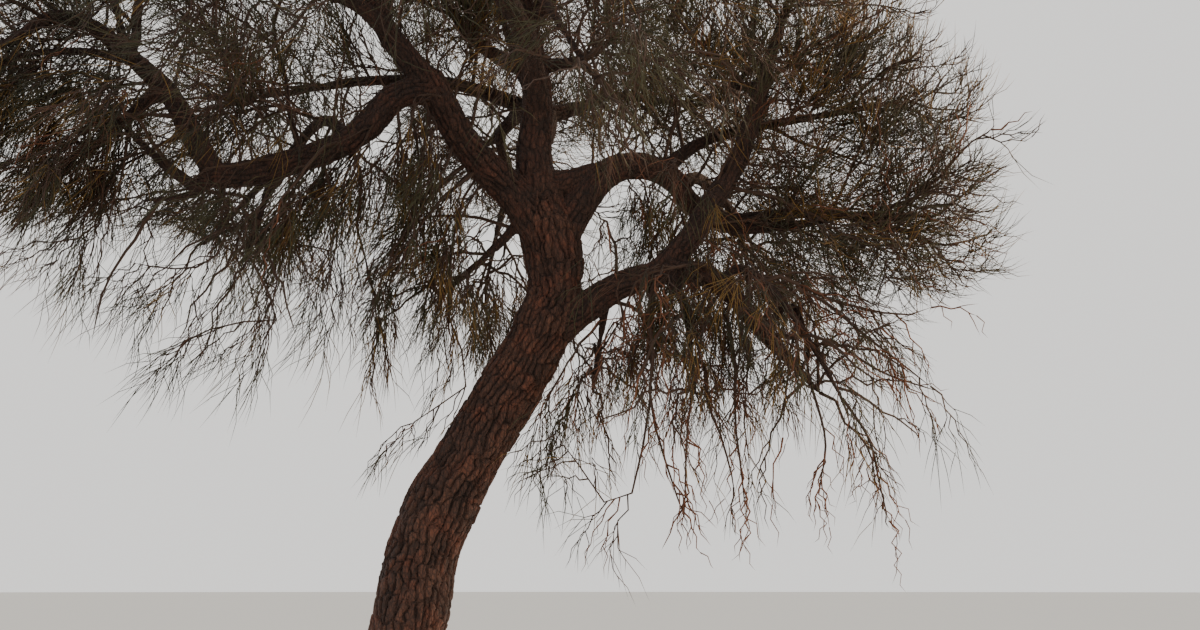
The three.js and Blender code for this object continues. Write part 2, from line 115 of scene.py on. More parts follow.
LIMBS = [
    dict(name="trunk",
         route=[(-2, 0, -ROOT_DEPTH), (10, -12, 600), (35, -15, 1300), (150, -5, 1790), (425, 15, 2310),
                (730, 12, 2840), (786, 5, 3080), (722, 0, 3440)]),
    dict(name="centre_limb", parent="trunk", at=0.975, into="top_centre", root=108, tip=46,
         route=[(666, 30, 3734), (682, 65, 4090), (611, 100, 4527)]),
    dict(name="left_limb", parent="trunk", at=0.955, root=96, tip=76,
         route=[(542, -60, 3553), (375, -120, 3702), (231, -200, 3900), (105, -262, 4150)]),
    dict(name="right_limb", parent="trunk", at=0.95, root=94, tip=50,
         route=[(1020, 60, 3637), (1236, 120, 3722), (1411, 180, 3660), (1521, 220, 3525),
                (1735, 262, 3400)]),
    dict(name="low_right_limb", parent="trunk", at=0.795, into="right_hanging", root=98, tip=40,
         route=[(1020, -60, 2979), (1229, -150, 3067), (1435, -240, 3085), (1637, -320, 3010)]),
    dict(name="left_bough", parent="left_limb", at=0.9, root=80, tip=66,
         route=[(-35, -300, 4010), (-201, -330, 3827), (-379, -345, 3709), (-787, -360, 3588),
                (-1010, -362, 3560)]),
    dict(name="left_crown_limb", parent="left_limb", at=0.88, into="top_left", root=74, tip=40,
         route=[(-60, -300, 4300), (-205, -250, 4560)]),
    dict(name="left_arch", parent="left_bough", at=0.96, into="far_left", root=68, tip=26,
         route=[(-1071, -380, 3753), (-1203, -400, 3985), (-1370, -425, 4150), (-1600, -460, 4335),
                (-1790, -495, 4375)]),
    dict(name="riser", parent="low_right_limb", at=0.5, into="mid_right", root=70, tip=34,
         route=[(1492, -235, 3270), (1606, -215, 3460), (1760, -190, 3720)]),
    dict(name="front_limb", parent="centre_limb", at=0.36, into="front", root=66, tip=34,
         route=[(640, -330, 4280), (500, -850, 4440)]),
    dict(name="back_limb", parent="centre_limb", at=0.24, into="back", root=70, tip=36,
         route=[(720, 430, 4050), (600, 980, 4260)]),
]

BOUGHS = table(
    "into parent at root tip lift",
    ("top_right", "centre_limb", 0.62, 46, 24, 0.12),
    ("top_front", "front_limb", 0.34, 42, 22, 0.05),
    ("top_back", "back_limb", 0.4, 42, 22, 0.08),
    ("right_back", "back_limb", 0.3, 44, 22, 0.1),
    ("left_back", "back_limb", 0.62, 44, 22, 0.12),
    ("left_upper", "left_arch", 0.52, 34, 20, -0.05),
    ("left_front", "left_crown_limb", 0.34, 42, 22, 0.12),
    ("right_front", "front_limb", 0.5, 44, 22, 0.1),
    ("right_upper", "right_limb", 0.62, 38, 20, 0.1),
    ("far_right", "right_limb", 0.95, 38, 20, 0.05),
    ("left_hanging", "left_arch", 0.34, 34, 19, 0.16),
    ("left_mid_hanging", "left_bough", 0.7, 32, 18, 0.05),
    ("inner_left_hanging", "left_limb", 0.12, 34, 18, 0.18),
    ("low_right_front", "low_right_limb", 0.56, 32, 18, 0.08),
    ("low_right_inner", "low_right_limb", 0.3, 28, 16, 0.16),
    ("back_right_low", "right_limb", 0.72, 38, 20, 0.14),
    ("back_low", "back_limb", 0.8, 34, 18, 0.12),
    ("left_back_low", "left_bough", 0.42, 36, 19, 0.16),
    ("front_low", "front_limb", 0.72, 32, 18, 0.1),
)

# Each mass: the middle and half-widths of its space, and how much it weeps, up to 1
MASSES = table(
    "name middle half weep",
    ("top_centre", (330, 60, 5520), (800, 800, 660), 0.05),
    ("top_left", (-660, 120, 5260), (860, 800, 640), 0.1),
    ("top_right", (1340, 60, 5230), (840, 820, 640), 0.08),
    ("top_front", (300, -1120, 5060), (900, 800, 620), 0.15),
    ("top_back", (360, 1220, 5080), (900, 800, 640), 0.15),
    ("mid_right", (2040, -120, 4620), (780, 760, 640), 0.1),
    ("right_back", (1640, 1300, 4340), (820, 800, 700), 0.3),
    ("back", (280, 2080, 4250), (860, 700, 660), 0.4),
    ("left_back", (-1200, 1420, 4400), (860, 820, 700), 0.4),
    ("left_upper", (-1620, -40, 4720), (860, 800, 640), 0.25),
    ("left_front", (-860, -1380, 4340), (820, 760, 640), 0.5),
    ("front", (280, -2040, 4380), (860, 700, 600), 0.45),
    ("right_front", (1520, -1380, 4440), (840, 760, 680), 0.35),
    ("right_upper", (2560, 220, 4080), (640, 700, 520), 0.1),
    ("far_right", (2660, 0, 3400), (660, 700, 480), 0.3),
    ("far_left", (-2220, -480, 4140), (700, 760, 660), 0.6),
    ("left_hanging", (-1680, -430, 3600), (660, 660, 640), 0.9),
    ("left_mid_hanging", (-800, -400, 3080), (640, 620, 620), 1.0),
    ("inner_left_hanging", (150, 60, 2980), (520, 600, 700), 1.0),
    ("low_right_front", (1500, -480, 2420), (600, 640, 720), 1.0),
    ("low_right_inner", (980, 160, 2500), (420, 560, 560), 1.0),
    ("right_hanging", (2140, -320, 2450), (600, 640, 800), 0.9),
    ("back_right_low", (1950, 1300, 3460), (760, 760, 620), 0.8),
    ("back_low", (300, 1980, 3350), (840, 720, 600), 0.9),
    ("left_back_low", (-1320, 1200, 3480), (800, 760, 620), 0.9),
    ("front_low", (1000, -1780, 3720), (720, 660, 520), 0.8),
)

# The smaller side branches that the photograph shows, each from the limb that it leaves
SIDE_BRANCHES = table(
    "name parent root tip route",
    ("spur_left", "left_arch", 26, 13,
     [(-1385, -420, 4166), (-1619, -420, 4208), (-1826, -430, 4208), (-2082, -450, 4155)]),
    ("crook_left", "left_arch", 30, 12,
     [(-1299, -430, 3978), (-1399, -430, 3873), (-1500, -440, 3804), (-1605, -450, 3873), (-1686, -460, 3994),
      (-1814, -470, 3962), (-2068, -490, 3857)]),
    ("upright_left", "left_arch", 28, 14,
     [(-1390, -410, 4264), (-1384, -400, 4408), (-1373, -380, 4569), (-1318, -350, 4811)]),
    ("droop_left", "left_bough", 24, 9, [(-1015, -370, 3502), (-1117, -390, 3455), (-1322, -430, 3424)]),
    ("low_left", "left_bough", 36, 14, [(-1035, -400, 3496), (-1218, -460, 3617), (-1414, -520, 3801)]),
    ("riser_left", "left_bough", 17, 8,
     [(-588, -350, 3892), (-619, -340, 4104), (-675, -330, 4291), (-694, -320, 4452)]),
    ("riser_left_small", "left_bough", 15, 7,
     [(-1009, -370, 3649), (-1013, -350, 3808), (-1020, -330, 4073)]),
    ("centre_left_fork", "centre_limb", 50, 18,
     [(588, 10, 4243), (479, -10, 4287), (316, -40, 4399), (200, -60, 4560)]),
    ("centre_right_fork", "centre_limb", 42, 14, [(830, 120, 4287), (966, 140, 4343), (1129, 160, 4465)]),
    ("right_web", "centre_limb", 74, 46,
     [(800, 40, 3600), (930, 60, 3645), (1090, 90, 3700), (1236, 120, 3722)]),
    ("right_sweep", "low_right_limb", 28, 10,
     [(1716, -350, 3084), (1869, -380, 3005), (2046, -400, 2771), (2245, -420, 2411)]),
    ("right_sweep_inner", "low_right_limb", 20, 8,
     [(2000, -300, 2902), (2080, -280, 2750), (2088, -280, 2543)]),
    ("right_upright", "riser", 22, 9, [(1732, 0, 4133), (1843, 60, 4245), (1953, 100, 4341)]),
    ("outer_right", "right_limb", 30, 11,
     [(1900, 180, 3390), (2098, 100, 3396), (2368, 20, 3435), (2799, -40, 3413)]),
    ("outer_right_low", "bough_far_right", 20, 8,
     [(2467, 60, 3404), (2653, 60, 3348), (2786, 60, 3288), (2953, 60, 3277)]),
)

# Single long twigs that the photograph shows: where each starts to branch, how much, and whether it is bare
STRAYS = table(
    "parent leafy_from fullness dry root route",
    ("left_limb", 0.72, 1.0, False, 8,
     [(330, -100, 3600), (250, -90, 3300), (219, -60, 2963), (241, -70, 2804), (344, -110, 2582),
      (297, -110, 2476), (131, -90, 2371), (-25, -80, 2267)]),
    ("low_right_limb", 0.62, 1.0, False, 9,
     [(1290, -330, 2750), (1273, -420, 2402), (1221, -440, 2099), (1130, -440, 1823), (995, -430, 1948),
      (879, -420, 2124), (758, -410, 2276)]),
    ("crook_left", 0.3, 0.9, False, 9,
     [(-1515, -470, 3472), (-1536, -470, 3322), (-1629, -470, 3224), (-1842, -470, 3198)]),
    ("left_bough", 0.4, 0.9, False, 8,
     [(-928, -430, 3426), (-897, -440, 3203), (-1016, -440, 3085), (-1194, -440, 3074), (-1373, -440, 3105)]),
    ("left_bough", 0.45, 1.0, False, 9,
     [(-904, -420, 3402), (-791, -430, 3195), (-706, -430, 3014), (-605, -430, 2824), (-808, -430, 2798),
      (-984, -430, 2752), (-1109, -430, 2681)]),
    ("left_bough", 0.3, 0.8, False, 7,
     [(-372, -300, 3500), (-336, -300, 3295), (-373, -300, 3060), (-411, -300, 2903)]),
    ("left_limb", 0.3, 0.9, False, 9,
     [(69, -100, 3491), (-34, -100, 3277), (-110, -100, 3011), (-175, -100, 2799)]),
    ("left_limb", 0.3, 0.9, False, 8,
     [(330, -60, 3499), (227, -60, 3230), (240, -60, 2963), (179, -60, 2724)]),
    ("low_right_limb", 0.3, 0.6, True, 12,
     [(1260, -380, 2850), (1298, -450, 2704), (1272, -450, 2399), (1361, -470, 2047), (1470, -480, 1733)]),
    ("low_right_limb", 0.4, 0.5, True, 11,
     [(1450, -330, 2960), (1526, -440, 2653), (1463, -460, 2298), (1440, -480, 1773)]),
    ("low_right_limb", 0.4, 0.5, True, 11,
     [(1660, -370, 2900), (1704, -420, 2606), (1702, -420, 2301), (1734, -420, 2024), (1752, -420, 1798)]),
    ("right_sweep_inner", 0.3, 0.5, True, 9, [(2168, -320, 2208), (2129, -340, 1954)]),
    ("right_sweep", 0.3, 0.5, True, 9, [(2390, -330, 2210), (2438, -300, 2005), (2484, -310, 1792)]),
    ("low_right_limb", 0.25, 0.9, False, 13,
     [(1900, -420, 3040), (2195, -400, 2918), (2551, -380, 2841), (2731, -380, 2887)]),
    ("low_right_limb", 0.3, 0.9, False, 13, [(2038, -450, 2964), (2390, -440, 2708), (2715, -420, 2453)]),
    ("right_sweep", 0.3, 0.6, True, 9, [(2192, -400, 2712), (2444, -400, 2549), (2747, -390, 2446)]),
    ("low_right_limb", 0.35, 0.25, True, 11,
     [(1543, -430, 3100), (1385, -470, 3070), (1233, -480, 3029), (1182, -480, 2947), (1131, -480, 2814),
      (1111, -480, 2702)]),
    ("low_right_limb", 0.35, 0.25, True, 10,
     [(1298, -420, 2966), (1364, -480, 2863), (1384, -490, 2751), (1464, -490, 2639), (1473, -490, 2538)]),
    ("low_right_limb", 0.35, 0.25, True, 10,
     [(1496, -430, 2995), (1556, -490, 2923), (1525, -500, 2811), (1564, -500, 2699)]),
)

# Rows of shoots along a part of a limb, where the photograph shows them close together
ROWS = table(
    "parent into span count aim reach",
    ("left_bough", "left_mid_hanging", (0.0, 0.55), 14, (-0.3, 0.0, -1.0), (420, 800)),
    ("left_bough", "top_left", (0.1, 0.95), 14, (-0.2, -0.1, 1.0), (350, 700)),
    ("left_arch", "far_left", (0.4, 1.0), 8, (-0.3, 0.0, -0.9), (300, 500)),
    ("left_limb", "inner_left_hanging", (0.25, 1.0), 8, (-0.5, 0.1, -1.0), (420, 800)),
    ("left_crown_limb", "top_left", (0.2, 1.0), 10, (-0.5, 0.0, 0.5), (400, 750)),
    ("left_crown_limb", "top_centre", (0.2, 1.0), 12, (0.6, 0.1, 0.4), (400, 750)),
    ("centre_left_fork", "top_left", (0.3, 1.0), 8, (-0.5, -0.1, 0.6), (350, 700)),
    ("left_limb", "top_centre", (0.7, 1.0), 7, (0.5, 0.0, 0.8), (350, 650)),
    ("crook_left", "left_hanging", (0.3, 1.0), 5, (-0.5, 0.0, -0.8), (300, 550)),
    ("spur_left", "far_left", (0.2, 1.0), 3, (-0.4, 0.0, -0.5), (300, 550)),
    ("low_right_limb", "low_right_front", (0.3, 0.85), 18, (-0.1, 0.1, -1.0), (260, 460)),
    ("right_limb", "low_right_inner", (0.4, 0.85), 6, (-0.1, 0.1, -1.0), (250, 420)),
    ("right_sweep", "right_hanging", (0.1, 0.9), 9, (0.5, 0.0, -0.7), (350, 600)),
    ("outer_right", "far_right", (0.2, 0.9), 8, (0.3, 0.0, -0.7), (280, 480)),
    ("right_limb", "top_right", (0.25, 0.8), 8, (0.1, 0.1, 1.0), (400, 800)),
    ("riser", "top_right", (0.2, 0.9), 7, (-0.6, 0.0, 0.8), (400, 700)),
    ("riser", "mid_right", (0.2, 1.0), 9, (0.8, 0.0, 0.1), (350, 600)),
    ("centre_right_fork", "top_right", (0.3, 1.0), 5, (0.5, 0.0, 0.6), (400, 700)),
)
ROW = {"spread": 0.34, "fullness": 0.72, "arch": 0.12}

# Where the photograph shows the crown thin or open: each place's middle and half-widths as seen from its
# viewpoint, on the upright plane through the trunk, the share of the sprays that stay there, and how far back
# this counts
VIEWPOINT = np.array([1020.0, -10500.0, 1500.0])
THROUGH = 3000  # through the whole crown
OPEN_EDGE = (0.6, 1.15)
OPENINGS = table(
    "at half kept back",
    ((-1750, 3020), (900, 340), 0.22, THROUGH),
    ((-1015, 2731), (661, 374), 0.4, THROUGH),
    ((290, 2540), (250, 250), 0.55, THROUGH),
    ((2332, 2150), (735, 379), 0.35, THROUGH),
    ((2850, 3025), (398, 323), 0.7, THROUGH),
    ((1440, 2240), (604, 360), 0.55, THROUGH),
    ((-37, 2758), (328, 224), 0.4, THROUGH),
    ((489, 3159), (181, 248), 0.35, THROUGH),
    ((1020, 3321), (181, 195), 0.8, THROUGH),
    ((682, 3837), (150, 429), 0.08, -60),
    ((367, 3782), (257, 252), 0.1, -60),
    ((881, 3608), (171, 153), 0.1, -60),
    ((743, 3321), (202, 325), 0.1, -60),
    ((-426, 3793), (509, 186), 0.7, -300),
)

# What the finer growth adds inside the same spaces
OVERLAP = 110  # finer twigs and needles may cross this far into the space next door
RIM = 40  # and this far beyond the rounded outline of their own
INWARD = 0.35  # and a space is this much larger on the side that faces the heart of the crown
RAGGED = 90  # the most that a spray may stop short of those bounds, or pass them
INNER_ROOM = 260  # more room for what grows from the limbs in the heart of the crown
STRAY_ROOM = 420  # and for the single long twigs and the rows
SWEEP = np.array([-0.4, 0.0, 0.0])  # the hanging sprays of the left side lean to the left
SWEEP_WIDTH = 800  # fully so this far from the heart of the crown

# The share of a limb that is bare from its root on, where it isn't the usual one. Then, by mass, the share of
# its sprays that are dry, and of its side twigs that grow
BARE_WOOD = {
    "centre_limb": 0.55, "front_limb": 0.9, "back_limb": 0.4, "left_limb": 0.3, "right_limb": 0.3,
    "low_right_limb": 0.25, "left_crown_limb": 0.35, "bough_top_front": 0.6, "bough_right_front": 0.6,
    "bough_front_low": 0.7, "bough_left_front": 0.5, "centre_left_fork": 0.4, "centre_right_fork": 0.4,
    "right_web": 1.0,
}
DRY_SHARE = {"low_right_front": 0.4, "right_hanging": 0.45, "low_right_inner": 0.3, "far_right": 0.15,
             "mid_right": 0.1, "inner_left_hanging": 0.1}
USUAL_DRY_SHARE = 0.04
FULLNESS = {"left_hanging": 0.75, "left_mid_hanging": 0.5, "inner_left_hanging": 0.7, "low_right_inner": 0.8,
            "low_right_front": 0.85, "right_hanging": 0.85, "front_low": 0.6, "front": 0.65,
            "left_front": 0.75}

# The first twigs, on each mass's stem and along the limbs, and how thick they are at their roots. One stays
# if it is clear of the wood from one of its points on, and place is the point that tells where it grows
FIRST = {"count": 14, "shortest": 200, "leafy": 0.12, "crook": 16, "tip": 3.4, "points": 9, "clear_from": 4,
         "margin": 4, "place": 6}
FIRST_ROOT = {"slender": 70, "thinnest": 7, "thickest": 14}
SHOOT = {
    "spacing": 115, "bare": 0.12, "shortest": 420, "longest": 950, "room": 500, "crook": 13, "thickest": 13,
    "ahead": 0.35, "outward": 0.3, "upward": 0.35, "spread": 0.15, "arch": 0.2, "kept": 0.6, "turn": 3.7,
}
STRAY = {"longest": 620, "place": 5}
SEED = 29

# How the next two generations grow on them, and the needles on both
SECOND_TWIGS = dict(
    each=10, bare=0.12, wide=radians(66), narrow=radians(28), lean=0.12, rise=0.7, sag=0.5, length=0.55,
    shortest=160, longest=560, points=6, zigzag=0.31, thinner=0.55, thickest=6.0, tip=2.3, new_spray=True,
    margin=35,
)
THIRD_TWIGS = dict(
    each=4, bare=0.12, wide=radians(56), narrow=radians(28), lean=0.1, rise=0.7, sag=0.55, length=0.55,
    shortest=90, longest=290, points=4, zigzag=0.26, thinner=0.6, thickest=3.4, tip=1.8, new_spray=False,
    margin=60,
)
SPREAD = {"angle": (0.8, 1.2), "length": (0.75, 1.15), "needle": (0.5, 1.2)}
GROWTH = {"rise_at_root": 0.4, "room": 0.97, "least": 0.8, "stray": 0.35}
PHASE = {"share": 0.37, "turn": 1.7, "needle": 0.41}  # by how much each twig branches unlike the one before
DRY = {"zigzag": 1.7, "fullness": 0.6}
NEEDLES = dict(each=3, bare=(0.45, 0.3), shortest=150, longest=310, wide=radians(44), narrow=radians(15),
               margin=90, rise=0.7, sag=0.5)
NEEDLE_RADII = 2.1 * np.array([1, 0.9, 0])  # at the root, in the middle and at the tip
NEEDLE_FACES = 10  # the triangles of one needle
MOST_FACES = 190000  # and the most in one piece of needles

# One scattered number for each question about a spray or twig, by these seeds
DEAL = {"tint": 3, "grows": 7, "dry": 11, "stays": 23, "ragged": 41}
TINTS = [("olive", "2b2912", 0.38), ("grey_green", "39371c", 0.24), ("straw", "684d1a", 0.21),
         ("russet", "462916", 0.17)]

# Slanting directions from which the sides of tubes, needles and shoots are counted
SLANT = {"tube": np.array([0.37, 0.61, -0.7]), "needle": (0.31, -0.57, 0.76), "shoot": (0.2, 0.9, 0.3)}

# The wood's skin. A limb's blunt end is drawn in by nub, inside the fork that it ends in
SKIN_VOXEL = 7.0
RINGS = {"spacing": 40, "sides": 28, "nub": 0.6}
FORKS = {"middle": 1.1, "reach": 2.6, "full": 0.55, "levels": 8}
BALLS = {"spacing": 25, "skin": 3, "stout": 60, "least": 0.2}

# Where the skin is cut into its pieces, in metres
FOOT_CUT = 1.9
FORK_CUT = 3.4
CROWN_CUT = 4.35
LEFT_CUT = 0.1
RIGHT_CUT = 1.05

# The bark's plates and the fissures round them, on wood of full radius, and less on thinner wood
PLATE = {"width": 44, "height": 104, "power": 2.8, "shift": 0.7, "slide": 0.8, "fewest": 5, "far": 9.0}
PLATE_SIZE = {"radius": 170, "least": 0.12, "power": 0.55}
PLATE_DEPTH = {"radius": 150, "least": 0.12, "power": 0.8}
PLATE_DOME = {"height": 3, "fall": 8}
PLATE_STEP = 12
UPRIGHT = (0.3, 0.9)
FISSURE = {"core": 0.8, "width": 11.5, "crack_width": 7.5, "depth": 20, "crack_depth": 11, "crack_shade": 0.7,
           "worn": 0.85, "least_worn": 0.3}
BARK_SPACING = 20
RIDGE_STRETCH = 0.16
# Radii in millimetres over which wood goes from thin to stout; thin wood gets painted shade, dark as limbs
# seen against the light
SHADED_THIN_RADII = (30, 150)

# Smooth lumps in the bark: their size in millimetres, a seed, and their height in millimetres or as a share
LUMPS = {
    "across": (120, 3, 0.6), "fine_across": (34, 4, 0.26), "along": (110, 5, 0.4),
    "fine_along": (26, 6, 0.12), "swell": (230, 7, 13), "ridge": (60, 8, 8), "fine_ridge": (21, 12, 3),
    "flakes": (15, 9, 2.6), "worn": (95, 11, 0.35),
}


def mix(start, end, share):
    return start + (end - start) * share


def fraction(value):
    return value - np.floor(value)


def smoothstep(low, high, value):
    share = np.clip((value - low) / (high - low), 0, 1)
    return share * share * (3 - 2 * share)


def unit(vectors):
    return vectors / np.maximum(np.linalg.norm(vectors, axis=-1, keepdims=True), 1e-12)


def dots(a, b):
    return (a * b).sum(-1, keepdims=True)


def sideways(heading, slant, turn):
    """Directions square to headings, each turned round its heading from the side that its slant gives."""
    side = unit(np.cross(heading, slant))
    return side * np.cos(turn)[:, None] + np.cross(heading, side) * np.sin(turn)[:, None]


def bezier(start, bend, end, shares):
    """Points of bent lines, one for each share."""
    x = shares[:, None]
    return start * (1 - x) ** 2 + 2 * bend * x * (1 - x) + end * x * x


def scatter(*numbers):
    """An even-looking number from 0 to 1 for each set of whole numbers."""
    total = sum(number * factor for number, factor in zip(numbers, (127.1, 311.7, 74.7, 53.3)))
    return fraction(np.sin(total) * 43758.5453)


def seeded(seed):
    """The source's small random source."""
    modulus = 2147483647
    state = (seed * 7919 + 104729) % modulus

    def draw():
        nonlocal state
        state = state * 16807 % modulus
        return state / modulus

    draw()
    return draw


def squared_gaps(points, centres):
    """The squared distances from points to centres, a block of points at a time."""
    squares = (centres**2).sum(1)
    for first in range(0, len(points), BLOCK):
        block = slice(first, first + BLOCK)
        near = points[block]
        yield block, (near**2).sum(1)[:, None] - 2 * near @ centres.T + squares


class Curve:
    """A smooth line through points that is walked by shares of its length."""

    DIVISIONS = 200

    def __init__(self, points):
        points = np.array(points, float)
        before = 2 * points[0] - points[1]
        after = 2 * points[-1] - points[-2]
        self.knots = np.vstack([before, points, after])
        self.spans = len(points) - 1
        self.parameters = np.linspace(0, 1, self.DIVISIONS + 1)
        steps = np.diff(self.at_parameter(self.parameters), axis=0)
        self.walked = np.concatenate([[0], np.cumsum(np.linalg.norm(steps, axis=1))])
        self.length = self.walked[-1]

    def at_parameter(self, parameter):
        place = np.clip(parameter, 0, 1) * self.spans
        span = np.minimum(place.astype(int), self.spans - 1)
        x = (place - span)[:, None]
        before, start, end, after = (self.knots[span + k] for k in range(4))
        leave = (end - before) / 2
        arrive = (after - start) / 2
        square = 3 * (end - start) - 2 * leave - arrive
        cube = 2 * (start - end) + leave + arrive
        return start + leave * x + square * x**2 + cube * x**3

    def parameter(self, shares):
        return np.interp(np.atleast_1d(shares) * self.length, self.walked, self.parameters)

    def at(self, shares):
        return self.at_parameter(self.parameter(shares))

    def along(self, shares):
        parameter = self.parameter(shares)
        step = 1e-4
        return unit(self.at_parameter(parameter + step) - self.at_parameter(parameter - step))

    def nearest_share(self, point):
        shares = np.linspace(0, 1, 101)
        return shares[np.linalg.norm(self.at(shares) - point, axis=1).argmin()]


class Spaces:
    """The spaces that the masses keep to, and which way and how much each one grows and weeps."""

    def __init__(self):
        self.names = [mass["name"] for mass in MASSES]
        self.middle = np.array([mass["middle"] for mass in MASSES], float)
        self.half = np.array([mass["half"] for mass in MASSES], float)
        self.weep = np.array([mass["weep"] for mass in MASSES])
        self.dry_share = np.array([DRY_SHARE.get(name, USUAL_DRY_SHARE) for name in self.names])
        self.fullness = np.array([FULLNESS.get(name, 1.0) for name in self.names])
        self.weight = (self.half**2).mean(1)
        across = self.middle[None] - self.middle[:, None]
        apart = np.linalg.norm(across, axis=2)
        np.fill_diagonal(apart, 1)
        self.normals = across / apart[..., None]
        self.offsets = (apart**2 + self.weight[:, None] - self.weight[None]) / (2 * apart)
        np.fill_diagonal(self.offsets, np.inf)
        self.away = unit(self.middle - CROWN_HEART)
        self.outward = self.away.copy()
        self.outward[:, 2] -= self.weep
        self.outward = unit(self.outward)
        leans = self.weep * np.clip((CROWN_HEART[0] - self.middle[:, 0]) / SWEEP_WIDTH, 0, 1)
        self.sweep = SWEEP * leans[:, None]

    def room(self, mass, start, direction, rim=-SKIN, overlap=-SKIN, inward=0.0):
        """How far lines from points inside the masses' spaces go before they leave them."""
        facing = np.clip(-(unit(direction) * self.away[mass]).sum(1), 0, 1)[:, None]
        half = (self.half[mass] + rim) * (1 + inward * facing)
        offset = start - self.middle[mass]
        p = offset / half
        d = direction / half
        a = (d * d).sum(1)
        b = (p * d).sum(1)
        c = (p * p).sum(1) - 1
        room = (-b + np.sqrt(np.maximum(b * b - a * c, 0))) / a
        left = self.offsets[mass] + overlap - np.einsum("ijk,ik->ij", self.normals[mass], offset)
        speed = np.einsum("ijk,ik->ij", self.normals[mass], direction)
        stop = np.where(speed > 1e-9, left / np.maximum(speed, 1e-9), np.inf).min(1)
        return np.where((c < 0) & (left > 0).all(1), np.minimum(room, stop), 0)

    def holds(self, mass, points, slack):
        """Whether points lie in the masses' spaces, as far as those reach for fine growth."""
        offset = points - self.middle[mass]
        facing = np.clip(-(unit(offset) * self.away[mass]).sum(1), 0, 1)[:, None]
        half = (self.half[mass] + RIM + slack[:, None]) * (1 + INWARD * facing)
        left = self.offsets[mass] + OVERLAP + slack[:, None]
        left = left - np.einsum("ijk,ik->ij", self.normals[mass], offset)
        return (((offset / half) ** 2).sum(1) < 1) & (left > 0).all(1)

    def nearest(self, points):
        """The mass whose space each point lies in or nearest to."""
        apart = ((points[:, None] - self.middle[None]) ** 2).sum(2)
        return (apart - self.weight).argmin(1)

    def entry(self, name, start):
        """Where a limb that comes from a point enters a mass."""
        mass = np.array([self.names.index(name)])
        outward = unit(start[None] - self.middle[mass])
        return self.middle[mass[0]] + outward[0] * self.room(mass, self.middle[mass], outward)[0] * ENTRY


def trunk_radius(heights):
    """The trunk's radius without its root flare, eased between its named heights."""
    heights = np.clip(heights, TRUNK_HEIGHTS[0], TRUNK_HEIGHTS[-1])
    high = np.clip(np.searchsorted(TRUNK_HEIGHTS, heights), 1, len(TRUNK_HEIGHTS) - 1)
    share = smoothstep(np.take(TRUNK_HEIGHTS, high - 1), np.take(TRUNK_HEIGHTS, high), heights)
    return mix(np.take(TRUNK_RADII, high - 1), np.take(TRUNK_RADII, high), share)


def bough_route(bough, parent, spaces):
    random = seeded(bough["seed"])
    start = parent["curve"].at(bough["at"])[0]
    end = spaces.entry(bough["into"], start)
    span = np.linalg.norm(end - start)
    route = []
    for share in (1 / 3, 2 / 3):
        point = mix(start, end, share)
        point[0] += (random() - 0.5) * BOUGH["crook"] * span
        point[1] += (random() - 0.5) * BOUGH["crook"] * span
        point[2] += (bough["lift"] + (random() - 0.5) * BOUGH["heave"]) * span
        route.append(point)
    return route


def limb_radii(limb, shares):
    parent = limb["parent_limb"]
    if parent is None:
        return trunk_radius(limb["curve"].at(shares)[:, 2])
    along = shares * limb["curve"].length
    radii = mix(limb["root"], limb["tip"], shares) * (1 + COLLAR["swell"] * np.exp(-along / COLLAR["length"]))
    most = COLLAR["share"] * limb_radii(parent, np.array([limb["at"]]))[0]
    return np.minimum(radii, most)


def shape_limbs(spaces):
    """Gives every limb, bough and side branch its curve, as the source does."""
    limbs = {}
    boughs = [dict(bough, name="bough_" + bough["into"], seed=seed) for seed, bough in enumerate(BOUGHS)]
    for limb in map(dict, LIMBS + boughs + SIDE_BRANCHES):
        parent = limbs.get(limb.get("parent"))
        route = limb["route"] if "route" in limb else bough_route(limb, parent, spaces)
        points = [np.array(point, float) for point in route]
        if parent and "at" not in limb:
            limb["at"] = parent["curve"].nearest_share(points[0])
        if parent:
            points.insert(0, parent["curve"].at(limb["at"])[0])
        if "into" in limb:
            points.append(spaces.entry(limb["into"], points[-1]))
        limb["curve"] = Curve(points)
        limb["parent_limb"] = parent
        limbs[limb["name"]] = limb
    return limbs


def carrier_of(limbs, name):
    """The limb or bough that enters a mass."""
    return next(limb for limb in limbs.values() if limb.get("into") == name)


def stem_line(spaces, mass, limb):
    """The start, bend and end of the stem that carries a mass's twigs, as in the source."""
    along = limb["curve"].along(1.0)[0]
    start = limb["curve"].at(1.0)[0] + along * JOINT_GAP
    middle = spaces.middle[mass]
    return start, start + along * np.linalg.norm(middle - start) * STEM["bend"], middle


def shape_stems(spaces, limbs):
    """The masses' stems as further limbs, which go on from those that carry them."""
    stems = {}
    for mass, name in enumerate(spaces.names):
        carrier = carrier_of(limbs, name)
        inside = carrier["curve"].at(STEM["overlap"])
        points = np.concatenate([inside, bezier(*stem_line(spaces, mass, carrier), np.linspace(0, 1, 5))[1:]])
        stems["stem_" + name] = dict(at=STEM["overlap"], root=carrier["tip"], tip=STEM["tip"],
                                     curve=Curve(points), parent_limb=carrier)
    return stems


def stations(limb, spacing):
    """Centres, headings, two sideways directions, radii and distances at even steps along a limb."""
    count = max(int(limb["curve"].length / spacing), 4) + 1
    shares = np.linspace(0, 1, count)
    centres = limb["curve"].at(shares)
    heading = limb["curve"].along(shares)
    side = unit(np.cross(heading[0], (0.0, 1.0, 0.0)))
    sides = []
    for ahead in heading:
        side = unit(side - ahead * (side @ ahead))
        sides.append(side)
    sides = np.array(sides)
    return dict(
        centres=centres,
        heading=heading,
        side=sides,
        other=np.cross(heading, sides),
        radii=limb_radii(limb, shares),
        walked=shares * limb["curve"].length,
    )


def linked(name, data):
    """A new object in the scene for a mesh, a light or a camera."""
    made = bpy.data.objects.new(name, data)
    bpy.context.scene.collection.objects.link(made)
    return made


def finished(bm, name):
    mesh = bpy.data.meshes.new(name)
    bm.to_mesh(mesh)
    bm.free()
    return mesh


